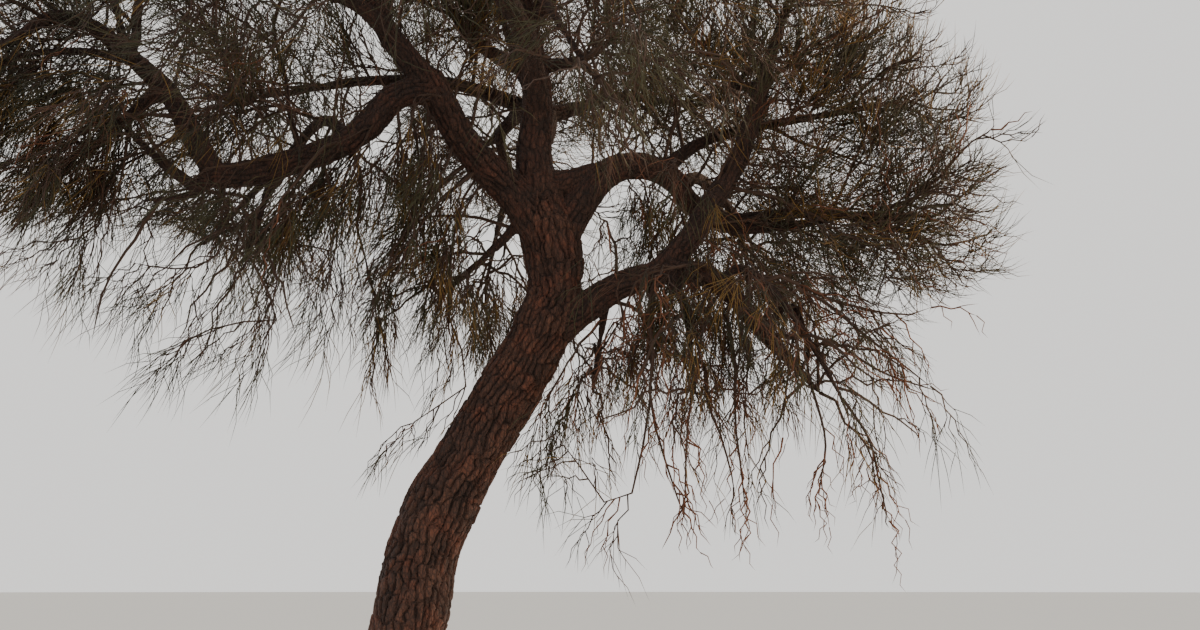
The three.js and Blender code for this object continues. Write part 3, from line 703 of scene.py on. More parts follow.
def modified(holder, *modifiers):
    """The mesh that an object's mesh becomes by modifiers, each a kind and its settings. The object goes."""
    for kind, settings in modifiers:
        modifier = holder.modifiers.new(kind, kind)
        for key, value in settings.items():
            setattr(modifier, key, value)
    mesh = bpy.data.meshes.new_from_object(holder.evaluated_get(bpy.context.evaluated_depsgraph_get()))
    bpy.data.objects.remove(holder)
    return mesh


def read_vectors(rows, field):
    """A field of a mesh's rows, such as its vertices' places, as an array."""
    values = np.empty(len(rows) * 3, np.float32)
    rows.foreach_get(field, values)
    return values.reshape(-1, 3)


def add_piece(name, mesh, material, replaced):
    """Makes a mesh a piece of the tree that stands for the CAD nodes that it replaces."""
    piece = linked(name, mesh)
    mesh.materials.append(material)
    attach(piece, "root")
    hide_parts(*replaced)


# The wood: one skin over trunk, limbs and boughs, with the bark's relief in it


def limb_body(bm, limb):
    """A limb as a disc that is extruded from ring to ring along its line."""
    rings = stations(limb, RINGS["spacing"])
    if "into" not in limb:
        rings["radii"][-1] *= RINGS["nub"]
    disc = bmesh.ops.create_circle(bm, cap_ends=True, segments=RINGS["sides"], radius=1)["verts"]
    last = Matrix.Identity(4)
    face = disc[0].link_faces[0]
    for k in range(len(rings["centres"])):
        place = Matrix.Identity(4)
        radius = rings["radii"][k] * MM
        place.col[0].xyz = Vector(rings["side"][k]) * radius
        place.col[1].xyz = Vector(rings["other"][k]) * radius
        place.col[2].xyz = Vector(rings["heading"][k]) * radius
        place.col[3].xyz = Vector(rings["centres"][k]) * MM
        if k:
            grown = bmesh.ops.extrude_face_region(bm, geom=[face])["geom"]
            if k > 1:
                bm.faces.remove(face)
            face = next(item for item in grown if isinstance(item, bmesh.types.BMFace))
        bmesh.ops.transform(bm, matrix=place @ last.inverted(), verts=face.verts)
        last = place


def flare_roots(bm):
    """Spreads the foot of the trunk into its root flare and spurs."""
    for vert in bm.verts:
        height = max(vert.co.z / MM, 0)
        fade = np.exp(-height / FLARE["height"])
        if fade < FLARE["least"]:
            continue
        turn = np.arctan2(vert.co.x, -vert.co.y)
        spread = FLARE["spread"] * fade * (1 + FLARE["spur_depth"] * np.cos(FLARE["spurs"] * turn))
        flat = Vector((vert.co.x, vert.co.y, 0))
        if flat.length:
            vert.co += flat.normalized() * spread * MM


def remeshed(bm):
    """One closed skin over all the overlapping limbs."""
    settings = {"mode": "VOXEL", "voxel_size": SKIN_VOXEL * MM, "use_smooth_shade": True}
    return modified(linked("limbs", finished(bm, "limbs")), ("REMESH", settings))


def smooth_forks(skin, limbs):
    """Rounds the creases where limbs meet."""
    points = read_vectors(skin.vertices, "co") / MM
    near = np.zeros(len(points))
    for limb in limbs.values():
        if limb["parent_limb"] is None:
            continue
        root = limb["curve"].at(limb["root"] * FORKS["middle"] / limb["curve"].length)[0]
        reach = limb["root"] * FORKS["reach"]
        gap = np.linalg.norm(points - root, axis=1)
        near = np.maximum(near, 1 - smoothstep(reach * FORKS["full"], reach, gap))
    holder = linked("skin", skin)
    group = holder.vertex_groups.new(name="forks")
    for level in range(1, FORKS["levels"] + 1):
        chosen = np.nonzero(np.round(near * FORKS["levels"]) == level)[0]
        group.add(chosen.tolist(), level / FORKS["levels"], "REPLACE")
    return modified(
        holder,
        ("SMOOTH", {"factor": 0.5, "iterations": 2}),
        ("SMOOTH", {"factor": 0.7, "iterations": 26, "vertex_group": "forks"}),
    )


def lumps(points, size, seed, height):
    """Smooth noise up to a height either way, with lumps of about this size."""
    place = points / size
    corner = np.floor(place)
    inner = smoothstep(0, 1, place - corner)
    total = np.zeros(len(points))
    for k in range(8):
        step = np.array([k & 1, k >> 1 & 1, k >> 2 & 1])
        weight = np.prod(np.where(step, inner, 1 - inner), axis=1)
        total += weight * scatter(*(corner + step).T, seed)
    return (total * 2 - 1) * height


def plates(across, along, cells_round, seed):
    """Bark plates, blocky cells round and along a limb: how far in millimetres a point of a full-sized plate
    lies from its edge, how upright that edge is, and a number from 0 to 1 for each plate."""
    column = np.floor(across)
    row = np.floor(along)
    count = len(across)
    nearest = np.full((count, 3), PLATE["far"])
    second = np.full((count, 3), PLATE["far"])
    plate = np.zeros(count)
    for side in (-1, 0, 1):
        for up in (-1, 0, 1):
            c = column + side
            r = row + up
            wrapped = np.mod(c, cells_round)
            x = c + 0.5 + PLATE["shift"] * (scatter(wrapped, r, seed) - 0.5)
            y = r + 0.5 + PLATE["slide"] * (scatter(wrapped, r, seed + 17) - 0.5)
            gap = np.abs(across - x) ** PLATE["power"] + np.abs(along - y) ** PLATE["power"]
            gap = gap ** (1 / PLATE["power"])
            cell = np.stack([gap, x, y], axis=1)
            closer = gap < nearest[:, 0]
            next_one = np.where((gap < second[:, 0])[:, None], cell, second)
            second = np.where(closer[:, None], nearest, next_one)
            nearest = np.where(closer[:, None], cell, nearest)
            plate = np.where(closer, scatter(wrapped, r, seed + 31), plate)
    apart = np.abs(second[:, 1:] - nearest[:, 1:])
    real = np.hypot(apart[:, 0] * PLATE["width"], apart[:, 1] * PLATE["height"])
    edge = (second[:, 0] - nearest[:, 0]) / 2 * real / np.maximum(np.hypot(*apart.T), 1e-6)
    upright = smoothstep(*UPRIGHT, apart[:, 0] * PLATE["width"] / np.maximum(real, 1e-6))
    return edge, upright, plate


def bark_relief(points, normals, limbs):
    """Pushes the skin's points out and in to make bark, and says how much painted shade each one gets in the
    fissures, which plate it is on, and how thin the wood is, which the bark's colour turns into a painted
    shade on thin limbs."""
    rows = [stations(limb, BARK_SPACING) for limb in limbs.values()]
    whole = {key: np.concatenate([row[key] for row in rows]) for key in rows[0]}
    best = np.empty(len(points), int)
    for block, gaps in squared_gaps(points, whole["centres"]):
        best[block] = (gaps / whole["radii"]**2).argmin(1)
    limb_of = np.concatenate([np.full(len(row["radii"]), i) for i, row in enumerate(rows)])[best]
    near = {key: values[best] for key, values in whole.items()}
    offset = points - near["centres"]
    along = near["walked"] + (offset * near["heading"]).sum(1)
    angle = np.arctan2((offset * near["other"]).sum(1), (offset * near["side"]).sum(1))
    typical = np.array([row["radii"].mean() for row in rows])[limb_of]
    size = np.clip(typical / PLATE_SIZE["radius"], PLATE_SIZE["least"], 1) ** PLATE_SIZE["power"]
    cells = np.maximum(np.round(2 * pi * typical / (PLATE["width"] * size)), PLATE["fewest"])
    across = angle / (2 * pi) * cells
    bend_across = lumps(points, *LUMPS["across"]) + lumps(points, *LUMPS["fine_across"])
    bend_along = lumps(points, *LUMPS["along"]) + lumps(points, *LUMPS["fine_along"])
    rows_along = along / (PLATE["height"] * size)
    edge, upright, plate = plates(across + bend_across, rows_along + bend_along, cells, limb_of)
    edge = edge * size
    stout = np.clip(typical / PLATE_DEPTH["radius"], PLATE_DEPTH["least"], 1)
    worn = FISSURE["worn"] + lumps(points, *LUMPS["worn"])
    width = mix(FISSURE["crack_width"], FISSURE["width"], upright) * worn * size
    depth = mix(FISSURE["crack_depth"], FISSURE["depth"], upright) * worn * stout ** PLATE_DEPTH["power"]
    fissure = 1 - smoothstep(FISSURE["core"], width, edge)
    unrolled = np.stack([np.cos(angle) * typical, np.sin(angle) * typical, along * RIDGE_STRETCH], axis=1)
    ridge = lumps(unrolled, *LUMPS["ridge"]) * stout + lumps(unrolled, *LUMPS["fine_ridge"]) * size
    swell = lumps(points, *LUMPS["swell"]) * stout
    flakes = lumps(points, *LUMPS["flakes"]) * size
    dome = (1 - np.exp(-edge / PLATE_DOME["fall"])) * PLATE_DOME["height"] * size
    step = (plate - 0.5) * PLATE_STEP * stout
    height = swell + ridge + flakes + dome + step - fissure * depth
    # Painted shade in the fissures, for the bark's colour: full in the upright fissures, less in the cross
    # cracks and where the fissures are worn shallow
    shade = fissure * mix(FISSURE["crack_shade"], 1.0, upright) * np.clip(worn, FISSURE["least_worn"], 1)
    # The last value, near 1 on thin wood, is a painted shade: the bark's colour darkens thin limbs as if they
    # were seen against the light
    return points + normals * height[:, None], shade, plate, 1 - smoothstep(*SHADED_THIN_RADII, typical)


def closed_part(mesh, name, cuts):
    """The part of a closed mesh that lies on the kept side of each cut, closed again along it."""
    bm = bmesh.new()
    bm.from_mesh(mesh)
    for point, normal in cuts:
        everything = bm.verts[:] + bm.edges[:] + bm.faces[:]
        bmesh.ops.bisect_plane(bm, geom=everything, plane_co=point, plane_no=normal, clear_outer=True)
        open_edges = [edge for edge in bm.edges if edge.is_boundary]
        caps = bmesh.ops.holes_fill(bm, edges=open_edges, sides=0)["faces"]
        for edge in open_edges:
            edge.smooth = False
        bmesh.ops.triangulate(bm, faces=caps)
    for face in bm.faces:
        face.smooth = True
    return finished(bm, name)


def bark_skin(limbs):
    bm = bmesh.new()
    limb_body(bm, limbs["trunk"])
    flare_roots(bm)
    for name, limb in limbs.items():
        if name != "trunk":
            limb_body(bm, limb)
    bmesh.ops.recalc_face_normals(bm, faces=bm.faces)
    skin = smooth_forks(remeshed(bm), limbs)
    points = read_vectors(skin.vertices, "co") / MM
    normals = read_vectors(skin.vertex_normals, "vector")
    moved, fissure, plate, thin_wood_shade = bark_relief(points, normals, limbs)
    skin.vertices.foreach_set("co", (moved * MM).astype(np.float32).ravel())
    # The fissure values and the thin-wood values are painted shade, carried to the bark's colour; plate is
    # the plates' own tone
    for name, values in (("fissure", fissure), ("plate", plate), ("thin_wood_shade", thin_wood_shade)):
        skin.attributes.new(name, "FLOAT", "POINT").data.foreach_set("value", values.astype(np.float32))
    return skin


def above(height):
    return (0, 0, height), (0, 0, -1)


def below(height):
    return (0, 0, height), (0, 0, 1)


def left_of(x):
    return (x, 0, 0), (1, 0, 0)


def right_of(x):
    return (x, 0, 0), (-1, 0, 0)


def build_bark(limbs):
    """The skin in six closed pieces, cut in the narrow places between the boughs."""
    skin = bark_skin(limbs)
    bark = fissured_bark()
    wood = [limb["name"] for limb in LIMBS] + ["bough_" + bough["into"] for bough in BOUGHS]
    for name, cuts, replaced in (
        ("bark_foot", [above(0), below(FOOT_CUT)], ["trunk"]),
        ("bark_trunk", [above(FOOT_CUT), below(FORK_CUT), left_of(RIGHT_CUT)], wood),
        ("bark_left", [above(FORK_CUT), left_of(LEFT_CUT)], wood),
        ("bark_heart", [above(FORK_CUT), below(CROWN_CUT), right_of(LEFT_CUT), left_of(RIGHT_CUT)], wood),
        ("bark_top", [above(CROWN_CUT), right_of(LEFT_CUT), left_of(RIGHT_CUT)], wood),
        ("bark_right", [above(FOOT_CUT), right_of(RIGHT_CUT)], wood),
    ):
        add_piece(name, closed_part(skin, name, cuts), bark, replaced)


# Materials


def linear(colour):
    """A colour in sRGB hex digits, as the linear light that a shader takes."""
    values = [int(colour[k:k + 2], 16) / 255 for k in (0, 2, 4)]
    return [v / 12.92 if v <= 0.04045 else ((v + 0.055) / 1.055) ** 2.4 for v in values] + [1.0]


def node(tree, kind, settings=None, **links):
    """Adds a node. Settings are its own fields, and each link gives an input, by its name or as i and its
    number, a value or another node's output."""
    made = tree.nodes.new(kind)
    for key, value in (settings or {}).items():
        setattr(made, key, value)
    for key, value in links.items():
        numbered = key[0] == "i" and key[1:].isdigit()
        socket = made.inputs[int(key[1:]) if numbered else key.replace("_", " ")]
        if isinstance(value, bpy.types.NodeSocket):
            tree.links.new(value, socket)
        else:
            socket.default_value = value
    return made


def new_material(name):
    material = bpy.data.materials.new(name)
    material.use_nodes = True
    tree = material.node_tree
    shader = tree.nodes["Principled BSDF"]
    return material, tree, shader


def fissured_bark():
    """Dry, corky, deeply fissured bark: matt dark plates, redder where they crumble, with near black painted
    shade in the fissures and fine cracks between them, and painted shade that darkens thin limbs as if seen
    against the light.

    Its patterns are crumbs of about 14 mm, fine cracks about 19 mm apart and redder patches of about 11 cm.
    """
    material, tree, shader = new_material("fissured_bark")
    place = node(tree, "ShaderNodeTexCoord").outputs["Object"]
    drawn = node(tree, "ShaderNodeMapping", Vector=place, Scale=(1.0, 1.0, 0.45)).outputs["Vector"]
    fissure_shade, plate, thin_wood_shade = (
        node(tree, "ShaderNodeAttribute", {"attribute_name": name}).outputs["Fac"]
        for name in ("fissure", "plate", "thin_wood_shade")
    )
    grain = node(tree, "ShaderNodeTexNoise", Vector=drawn, Scale=70.0, Detail=9.0, Roughness=0.68)
    broad = node(tree, "ShaderNodeTexNoise", Vector=place, Scale=9.0, Detail=4.0)
    cracks = node(tree, "ShaderNodeTexVoronoi", {"feature": "DISTANCE_TO_EDGE"}, Vector=drawn, Scale=52.0,
                  Randomness=1.0)
    crack = node(tree, "ShaderNodeMapRange", Value=cracks.outputs["Distance"], i1=0.0, i2=0.14, i3=1.0,
                 i4=0.0).outputs[0]
    mixed = node(tree, "ShaderNodeMath", {"operation": "MULTIPLY_ADD"}, i0=plate, i1=0.3,
                 i2=grain.outputs["Fac"]).outputs[0]
    tones = node(tree, "ShaderNodeValToRGB", Fac=mixed)
    ramp = tones.color_ramp
    ramp.elements[0].position = 0.4
    ramp.elements[0].color = linear("27170f")
    ramp.elements[1].position = 0.95
    ramp.elements[1].color = linear("5e3d2d")
    ramp.elements.new(0.66).color = linear("3d251b")
    redder = node(tree, "ShaderNodeMapRange", Value=broad.outputs["Fac"], i1=0.48, i2=0.66, i3=0.0,
                  i4=1.0).outputs[0]
    tone = tones.outputs["Color"]
    # Redder patches are the bark's own tone. The darkening of thin wood, the fine cracks' near black and the
    # fissures' near black are painted shade
    for amount, most, colour in (
        (redder, 0.7, "5c3323"), (thin_wood_shade, 0.7, "291a14"), (crack, 0.55, "1a100c"), (fissure_shade, 0.85, "140b08"),
    ):
        share = node(tree, "ShaderNodeMath", {"operation": "MULTIPLY"}, i0=amount, i1=most).outputs[0]
        tone = node(tree, "ShaderNodeMix", {"data_type": "RGBA"}, Factor=share, i6=tone,
                    i7=linear(colour)).outputs[2]
    tree.links.new(tone, shader.inputs["Base Color"])
    shader.inputs["Roughness"].default_value = 0.92
    height = node(tree, "ShaderNodeMath", {"operation": "MULTIPLY_ADD"}, i0=crack, i1=-0.7,
                  i2=grain.outputs["Fac"]).outputs[0]
    bump = node(tree, "ShaderNodeBump", Height=height, Strength=1.0, Distance=0.007)
    tree.links.new(bump.outputs["Normal"], shader.inputs["Normal"])
    return material


def twig_bark(name, colour):
    """Thin, smooth bark of young twigs, darker in patches of about 25 mm."""
    material, tree, shader = new_material(name)
    place = node(tree, "ShaderNodeTexCoord").outputs["Object"]
    patches = node(tree, "ShaderNodeTexNoise", Vector=place, Scale=40.0, Detail=3.0).outputs["Fac"]
    dark = [part * 0.45 for part in linear(colour)[:3]] + [1.0]
    tone = node(tree, "ShaderNodeMix", {"data_type": "RGBA"}, Factor=patches, i6=linear(colour), i7=dark)
    tree.links.new(tone.outputs[2], shader.inputs["Base Color"])
    shader.inputs["Roughness"].default_value = 0.8
    return material


def plain_skin(name, colour, roughness):
    """A matt skin in one plain tint: leathery needles with a faint waxy gloss, and the floor."""
    material, _, shader = new_material(name)
    shader.inputs["Base Color"].default_value = linear(colour)
    shader.inputs["Roughness"].default_value = roughness
    return material


# Twigs and needles: arrays, because there are tens of thousands of them


def tubes(lines, radii, sides):
    """Closed tubes, one for each line, that taper to a point: their points and triangles."""
    count, rings, _ = lines.shape
    heading = unit(np.gradient(lines, axis=1))
    chord = unit(lines[:, -1] - lines[:, 0])
    guide = np.cross(chord, unit(SLANT["tube"]))
    side = unit(guide[:, None] - heading * dots(guide[:, None], heading))
    other = np.cross(heading, side)
    turn = 2 * pi * np.arange(sides) / sides
    round_it = side[:, :-1, None] * np.cos(turn)[:, None] + other[:, :-1, None] * np.sin(turn)[:, None]
    ring = lines[:, :-1, None] + radii[:, :-1, None, None] * round_it
    points = np.concatenate([ring.reshape(count, -1, 3), lines[:, -1:]], axis=1)
    faces = []
    for j in range(sides):
        following = (j + 1) % sides
        for k in range(rings - 2):
            low = k * sides
            high = low + sides
            faces.append((low + j, low + following, high + following))
            faces.append((low + j, high + following, high + j))
        top = (rings - 2) * sides
        faces.append((top + j, top + following, (rings - 1) * sides))
    for j in range(1, sides - 1):
        faces.append((0, j + 1, j))
    faces = np.array(faces)[None] + (np.arange(count) * points.shape[1])[:, None, None]
    return points.reshape(-1, 3), faces.reshape(-1, 3)


def twig_tubes(twigs, sides):
    """Tubes along twigs, from the radius of their roots to that of their tips."""
    shares = np.linspace(0, 1, twigs["lines"].shape[1])
    return tubes(twigs["lines"], mix(twigs["radius"][:, None], twigs["tip"][:, None], shares[None]), sides)


def joined_mesh(name, parts):
    """One mesh of several sets of points and triangles, in metres."""
    points = []
    faces = []
    total = 0
    for part_points, part_faces in parts:
        points.append(part_points * MM)
        faces.append(part_faces + total)
        total += len(part_points)
    mesh = bpy.data.meshes.new(name)
    mesh.from_pydata(np.concatenate(points), [], np.concatenate(faces).tolist())
    mesh.polygons.foreach_set("use_smooth", np.ones(len(mesh.polygons), bool))
    mesh.update()
    return mesh


class Wood:
    """The limbs as a row of balls, so that nothing grows through them."""

    def __init__(self, limbs):
        rows = [stations(limb, BALLS["spacing"]) for limb in limbs.values()]
        self.centres = np.concatenate([row["centres"] for row in rows])
        self.radii = np.concatenate([row["radii"] for row in rows]) + BALLS["skin"]

    def clear_of(self, lines, margin):
        """Whether every point of each line is this far outside the wood, and inside the looks' outer box."""
        points = lines.reshape(-1, 3)
        clear = ((points > BOX_LOW) & (points < BOX_HIGH)).all(1)
        reach = (self.radii + margin * np.clip(self.radii / BALLS["stout"], BALLS["least"], 1)) ** 2
        for block, gaps in squared_gaps(points, self.centres):
            clear[block] &= (gaps > reach).all(1)
        return clear.reshape(lines.shape[:2]).all(1)


def even_direction(index, seed):
    height = 1 - 2 * fraction(0.5 + index * EVEN_HEIGHT + seed * 0.31)
    turn = 2 * pi * fraction(index * EVEN_TURN + seed * 0.17)
    level = np.sqrt(1 - height * height)
    return np.array([level * np.cos(turn), level * np.sin(turn), height])


def first_twig(spaces, mass, stem, index):
    """The line of a twig on a mass's stem, as the source draws a frond's at its first try."""
    random = seeded((mass + 1) * 9973 + index * 1013)
    outward = spaces.outward[mass]
    share = 1.0 if index == 0 else mix(STEM["bare"], 1, fraction(STEM["first"] + index * GOLDEN))
    start = bezier(*stem, np.array([share]))[0]
    aim = outward.copy() if index == 0 else even_direction(index, mass + 1)
    aim = unit(aim + outward * LEAN_OUT)
    aim = unit(aim + np.array([random() - 0.5, random() - 0.5, random() - 0.5]) * TURN)
    where = np.array([mass])
    reach = spaces.room(where, start[None], aim[None])[0] * mix(REACH["most"], REACH["least"], random())
    end = start + aim * reach
    bend = mix(start, end, 0.5)
    bend[2] += mix(LIFT["stiff"], LIFT["weeping"], spaces.weep[mass]) * reach
    return start, bend, end, reach


def walk(lines, shares):
    """Points and headings at shares along many-pointed lines."""
    place = np.clip(shares, 0, 0.9999) * (lines.shape[1] - 1)
    step = place.astype(int)
    rows = np.arange(len(lines))
    start = lines[rows, step]
    ahead = lines[rows, step + 1] - start
    return start + ahead * (place - step)[:, None], unit(ahead)


def ragged(spray):
    """How much further than the rest a spray may reach, so that the outline is uneven."""
    return (scatter(spray, DEAL["ragged"]) * 2 - 1) * RAGGED


def stays(points, spray, free):
    """Whether growth at these points stays where the crown is thin or open from the front, spray by spray."""
    stretch = -VIEWPOINT[1] / (points[:, 1] - VIEWPOINT[1])
    seen = VIEWPOINT + (points - VIEWPOINT) * stretch[:, None]
    share = np.ones(len(points))
    for place in OPENINGS:
        offset = (seen[:, [0, 2]] - place["at"]) / place["half"]
        kept = mix(place["kept"], 1, smoothstep(*OPEN_EDGE, (offset**2).sum(1)))
        share = np.where(points[:, 1] < place["back"], np.minimum(share, kept), share)
    return (scatter(spray, DEAL["stays"]) < share) | free


def each_on(count, each):
    """Which twig each new one grows on, and which of that twig's it is."""
    return np.repeat(np.arange(count), each), np.tile(np.arange(each), count)


def pick(group, chosen):
    return {key: values[chosen] for key, values in group.items()}


def together(*groups):
    return {key: np.concatenate([group[key] for group in groups]) for key in groups[0]}


def grow(spaces, wood, parents, rule, random):
    """A generation of side twigs on the twigs before them."""
    count = len(parents["lines"])
    parent, order = each_on(count, rule["each"])
    grows = scatter(parents["spray"][parent], order, DEAL["grows"]) < parents["fullness"][parent]
    parent = parent[grows]
    order = order[grows]
    mass = parents["mass"][parent]
    weep = spaces.weep[mass][:, None]
    place = fraction(0.5 * GOLDEN + order * GOLDEN + parent * PHASE["share"])
    share = mix(parents["leafy_from"][parent], 1, place)
    start, heading = walk(parents["lines"][parent], share)
    slant = unit(random.normal(size=(count, 3)))[parent]
    side = sideways(heading, slant, order * TWIG_TURN + parent * PHASE["turn"])
    angle = mix(rule["wide"], rule["narrow"], share)[:, None]
    angle = angle * random.uniform(*SPREAD["angle"], (len(parent), 1))
    aim = unit(heading * np.cos(angle) + side * np.sin(angle))
    rise = UP * mix(rule["rise"] * GROWTH["rise_at_root"], -rule["sag"], weep)
    aim = unit(aim + spaces.outward[mass] * rule["lean"] + rise)
    wanted = parents["length"][parent] * rule["length"] * random.uniform(*SPREAD["length"], len(parent))
    wanted = np.clip(wanted, rule["shortest"], rule["longest"])
    slack = parents["slack"][parent]
    room = spaces.room(mass, start, aim, RIM, OVERLAP, INWARD) * GROWTH["room"] + slack
    length = np.minimum(wanted, room)
    keep = length > rule["shortest"] * GROWTH["least"]
    parent, order, mass, start, aim, length, weep = (
        values[keep] for values in (parent, order, mass, start, aim, length, weep)
    )
    steps = rule["points"] - 1
    pull = UP * mix(rule["rise"], -rule["sag"], weep) + spaces.sweep[mass]
    bent = np.where(parents["dry"][parent], rule["zigzag"] * DRY["zigzag"], rule["zigzag"])[:, None]
    zigzag = unit(np.cross(aim, random.normal(size=aim.shape))) * bent
    lines = np.empty((len(start), rule["points"], 3))
    lines[:, 0] = start
    for k in range(steps):
        aim = unit(aim + pull / steps)
        stray = random.normal(size=aim.shape) * bent * GROWTH["stray"]
        ahead = unit(aim + zigzag * (1 if k % 2 else -1) + stray)
        lines[:, k + 1] = lines[:, k] + ahead * (length / steps)[:, None]
    spray = parents["spray"][parent]
    if rule["new_spray"]:
        spray = spray * rule["each"] + order
    inside = spaces.holds(mass, lines[:, -1], parents["slack"][parent] + ragged(spray))
    inside &= wood.clear_of(lines[:, 1:], rule["margin"])
    inside &= stays(lines[:, -1], spray, parents["free"][parent])
    parent, mass, length, lines, spray = (values[inside] for values in (parent, mass, length, lines, spray))
    dry = parents["dry"][parent]
    if rule["new_spray"]:
        dry = dry | (scatter(spray, DEAL["dry"]) < spaces.dry_share[mass])
    return dict(
        lines=lines,
        mass=mass,
        length=length,
        slack=parents["slack"][parent],
        free=parents["free"][parent],
        spray=spray,
        dry=dry,
        leafy_from=np.full(len(lines), rule["bare"]),
        fullness=np.where(dry, DRY["fullness"], 1.0),
        radius=np.minimum(parents["radius"][parent] * rule["thinner"], rule["thickest"]),
        tip=np.full(len(lines), rule["tip"]),
    )


def needles_on(spaces, wood, twigs, bare, random):
    """Needles along the outer part of each twig, bundled forwards like the hairs of a broom."""
    twigs = pick(twigs, ~twigs["dry"])
    count = len(twigs["lines"])
    parent, order = each_on(count, NEEDLES["each"])
    mass = twigs["mass"][parent]
    weep = spaces.weep[mass][:, None]
    share = mix(bare, 1, fraction(order * GOLDEN + parent * PHASE["needle"]))
    start, heading = walk(twigs["lines"][parent], share)
    side = sideways(heading, SLANT["needle"], order * TWIG_TURN + random.uniform(0, 2 * pi, count)[parent])
    angle = mix(NEEDLES["wide"], NEEDLES["narrow"], share)[:, None]
    angle = angle * random.uniform(*SPREAD["needle"], (len(parent), 1))
    aim = unit(heading * np.cos(angle) + side * np.sin(angle))
    half = random.uniform(NEEDLES["shortest"], NEEDLES["longest"], len(parent))[:, None] * 0.5
    pull = UP * mix(NEEDLES["rise"], -NEEDLES["sag"], weep) + spaces.sweep[mass]
    bend = start + aim * half
    tip = bend + unit(aim + pull) * half
    lines = np.stack([start, bend, tip], axis=1)
    spray = twigs["spray"][parent]
    keep = spaces.holds(mass, tip, twigs["slack"][parent] + ragged(spray))
    keep &= wood.clear_of(lines[:, 1:], NEEDLES["margin"])
    keep &= stays(tip, spray, twigs["free"][parent])
    return dict(lines=lines[keep], spray=spray[keep])


def first_group(spaces, lines, masses, root, first_spray, slack=0, leafy_from=FIRST["leafy"], dry=False):
    """A group of first twigs: nine-pointed lines, and what each one passes on to its side twigs."""
    count = len(lines)
    return dict(
        lines=lines,
        mass=masses,
        length=np.linalg.norm(lines[:, -1] - lines[:, 0], axis=1),
        slack=np.broadcast_to(slack, count).astype(float),
        free=np.zeros(count, bool),
        spray=first_spray + np.arange(count),
        dry=np.broadcast_to(dry, count),
        leafy_from=np.broadcast_to(leafy_from, count).astype(float),
        fullness=spaces.fullness[masses],
        radius=np.broadcast_to(root, count).astype(float),
        tip=np.full(count, FIRST["tip"]),
    )


def root_radius(reach, thickest):
    return np.clip(reach / FIRST_ROOT["slender"], FIRST_ROOT["thinnest"], thickest)


def mass_twigs(spaces, limbs, random):
    """The first twigs on the stem of each mass."""
    shares = np.linspace(0, 1, FIRST["points"])
    lines = []
    masses = []
    for mass, name in enumerate(spaces.names):
        stem = stem_line(spaces, mass, carrier_of(limbs, name))
        for index in range(FIRST["count"]):
            start, bend, end, reach = first_twig(spaces, mass, stem, index)
            if reach > FIRST["shortest"]:
                lines.append(bezier(start, bend, end, shares))
                masses.append(mass)
    lines = np.array(lines)
    inner = lines[:, 1:-1]
    inner += random.normal(size=inner.shape) * FIRST["crook"]
    root = root_radius(np.linalg.norm(lines[:, -1] - lines[:, 0], axis=1), FIRST_ROOT["thickest"])
    return first_group(spaces, lines, np.array(masses), root, 0)


def crooked(start, aim, reach, arch, random):
    """Crooked lines from points along aims, which arch up by a share of their reach."""
    end = start + aim * reach[:, None]
    bend = mix(start, end, 0.5) + UP * reach[:, None] * arch
    lines = bezier(start[:, None], bend[:, None], end[:, None], np.linspace(0, 1, FIRST["points"]))
    loose = lines[:, 2:]
    loose += np.cumsum(random.normal(size=loose.shape) * SHOOT["crook"], axis=1)
    return lines


def limb_shoots(spaces, limbs, random, first_spray):
    """Twigs along the limbs and boughs themselves."""
    starts = []
    aims = []
    for number, (name, limb) in enumerate(limbs.items()):
        bare = BARE_WOOD.get(name, SHOOT["bare"])
        count = int(limb["curve"].length * (1 - bare) / SHOOT["spacing"]) if limb["parent_limb"] else 0
        shares = mix(bare, 1, (np.arange(count) + 0.5) / max(count, 1))
        heading = limb["curve"].along(shares)
        turn = (np.arange(count) + number * SHOOT["turn"]) * TWIG_TURN
        starts.append(limb["curve"].at(shares))
        aims.append(sideways(heading, SLANT["shoot"], turn) + heading * SHOOT["ahead"])
    start = np.concatenate(starts)
    mass = spaces.nearest(start)
    weep = spaces.weep[mass][:, None]
    rise = UP * mix(SHOOT["upward"], -SHOOT["upward"], weep)
    aim = np.concatenate(aims) + spaces.outward[mass] * SHOOT["outward"] + rise + spaces.sweep[mass]
    aim = unit(aim + random.normal(size=aim.shape) * SHOOT["spread"])
    room = spaces.room(mass, start, aim, SHOOT["room"], SHOOT["room"], INWARD)
    depth = np.linalg.norm(spaces.middle[mass] - CROWN_HEART, axis=1)
    inner = np.linalg.norm(start - CROWN_HEART, axis=1) < depth
    reach = np.minimum(random.uniform(SHOOT["shortest"], SHOOT["longest"], len(start)), room)
    reach = np.where(inner, reach, np.minimum(reach, spaces.room(mass, start, aim)))
    lines = crooked(start, aim, reach, SHOOT["arch"] * weep, random)
    kept = reach > SHOOT["shortest"] * SHOOT["kept"]
    root = root_radius(reach[kept], SHOOT["thickest"])
    slack = np.where(inner[kept], INNER_ROOM, 0)
    return first_group(spaces, lines[kept], mass[kept], root, first_spray, slack)


def shoot_rows(spaces, limbs, random, first_spray):
    """The close rows of shoots along parts of the limbs."""
    groups = []
    for row in ROWS:
        count = row["count"]
        shares = mix(*row["span"], (np.arange(count) + 0.5) / count)
        aim = unit(np.array(row["aim"]) + random.normal(size=(count, 3)) * ROW["spread"])
        reach = random.uniform(*row["reach"], count)
        lines = crooked(limbs[row["parent"]]["curve"].at(shares), aim, reach, ROW["arch"], random)
        mass = np.full(count, spaces.names.index(row["into"]))
        root = root_radius(reach, SHOOT["thickest"])
        group = first_group(spaces, lines, mass, root, first_spray, STRAY_ROOM)
        group["fullness"] = np.full(count, ROW["fullness"])
        first_spray += count
        groups.append(group)
    return together(*groups)


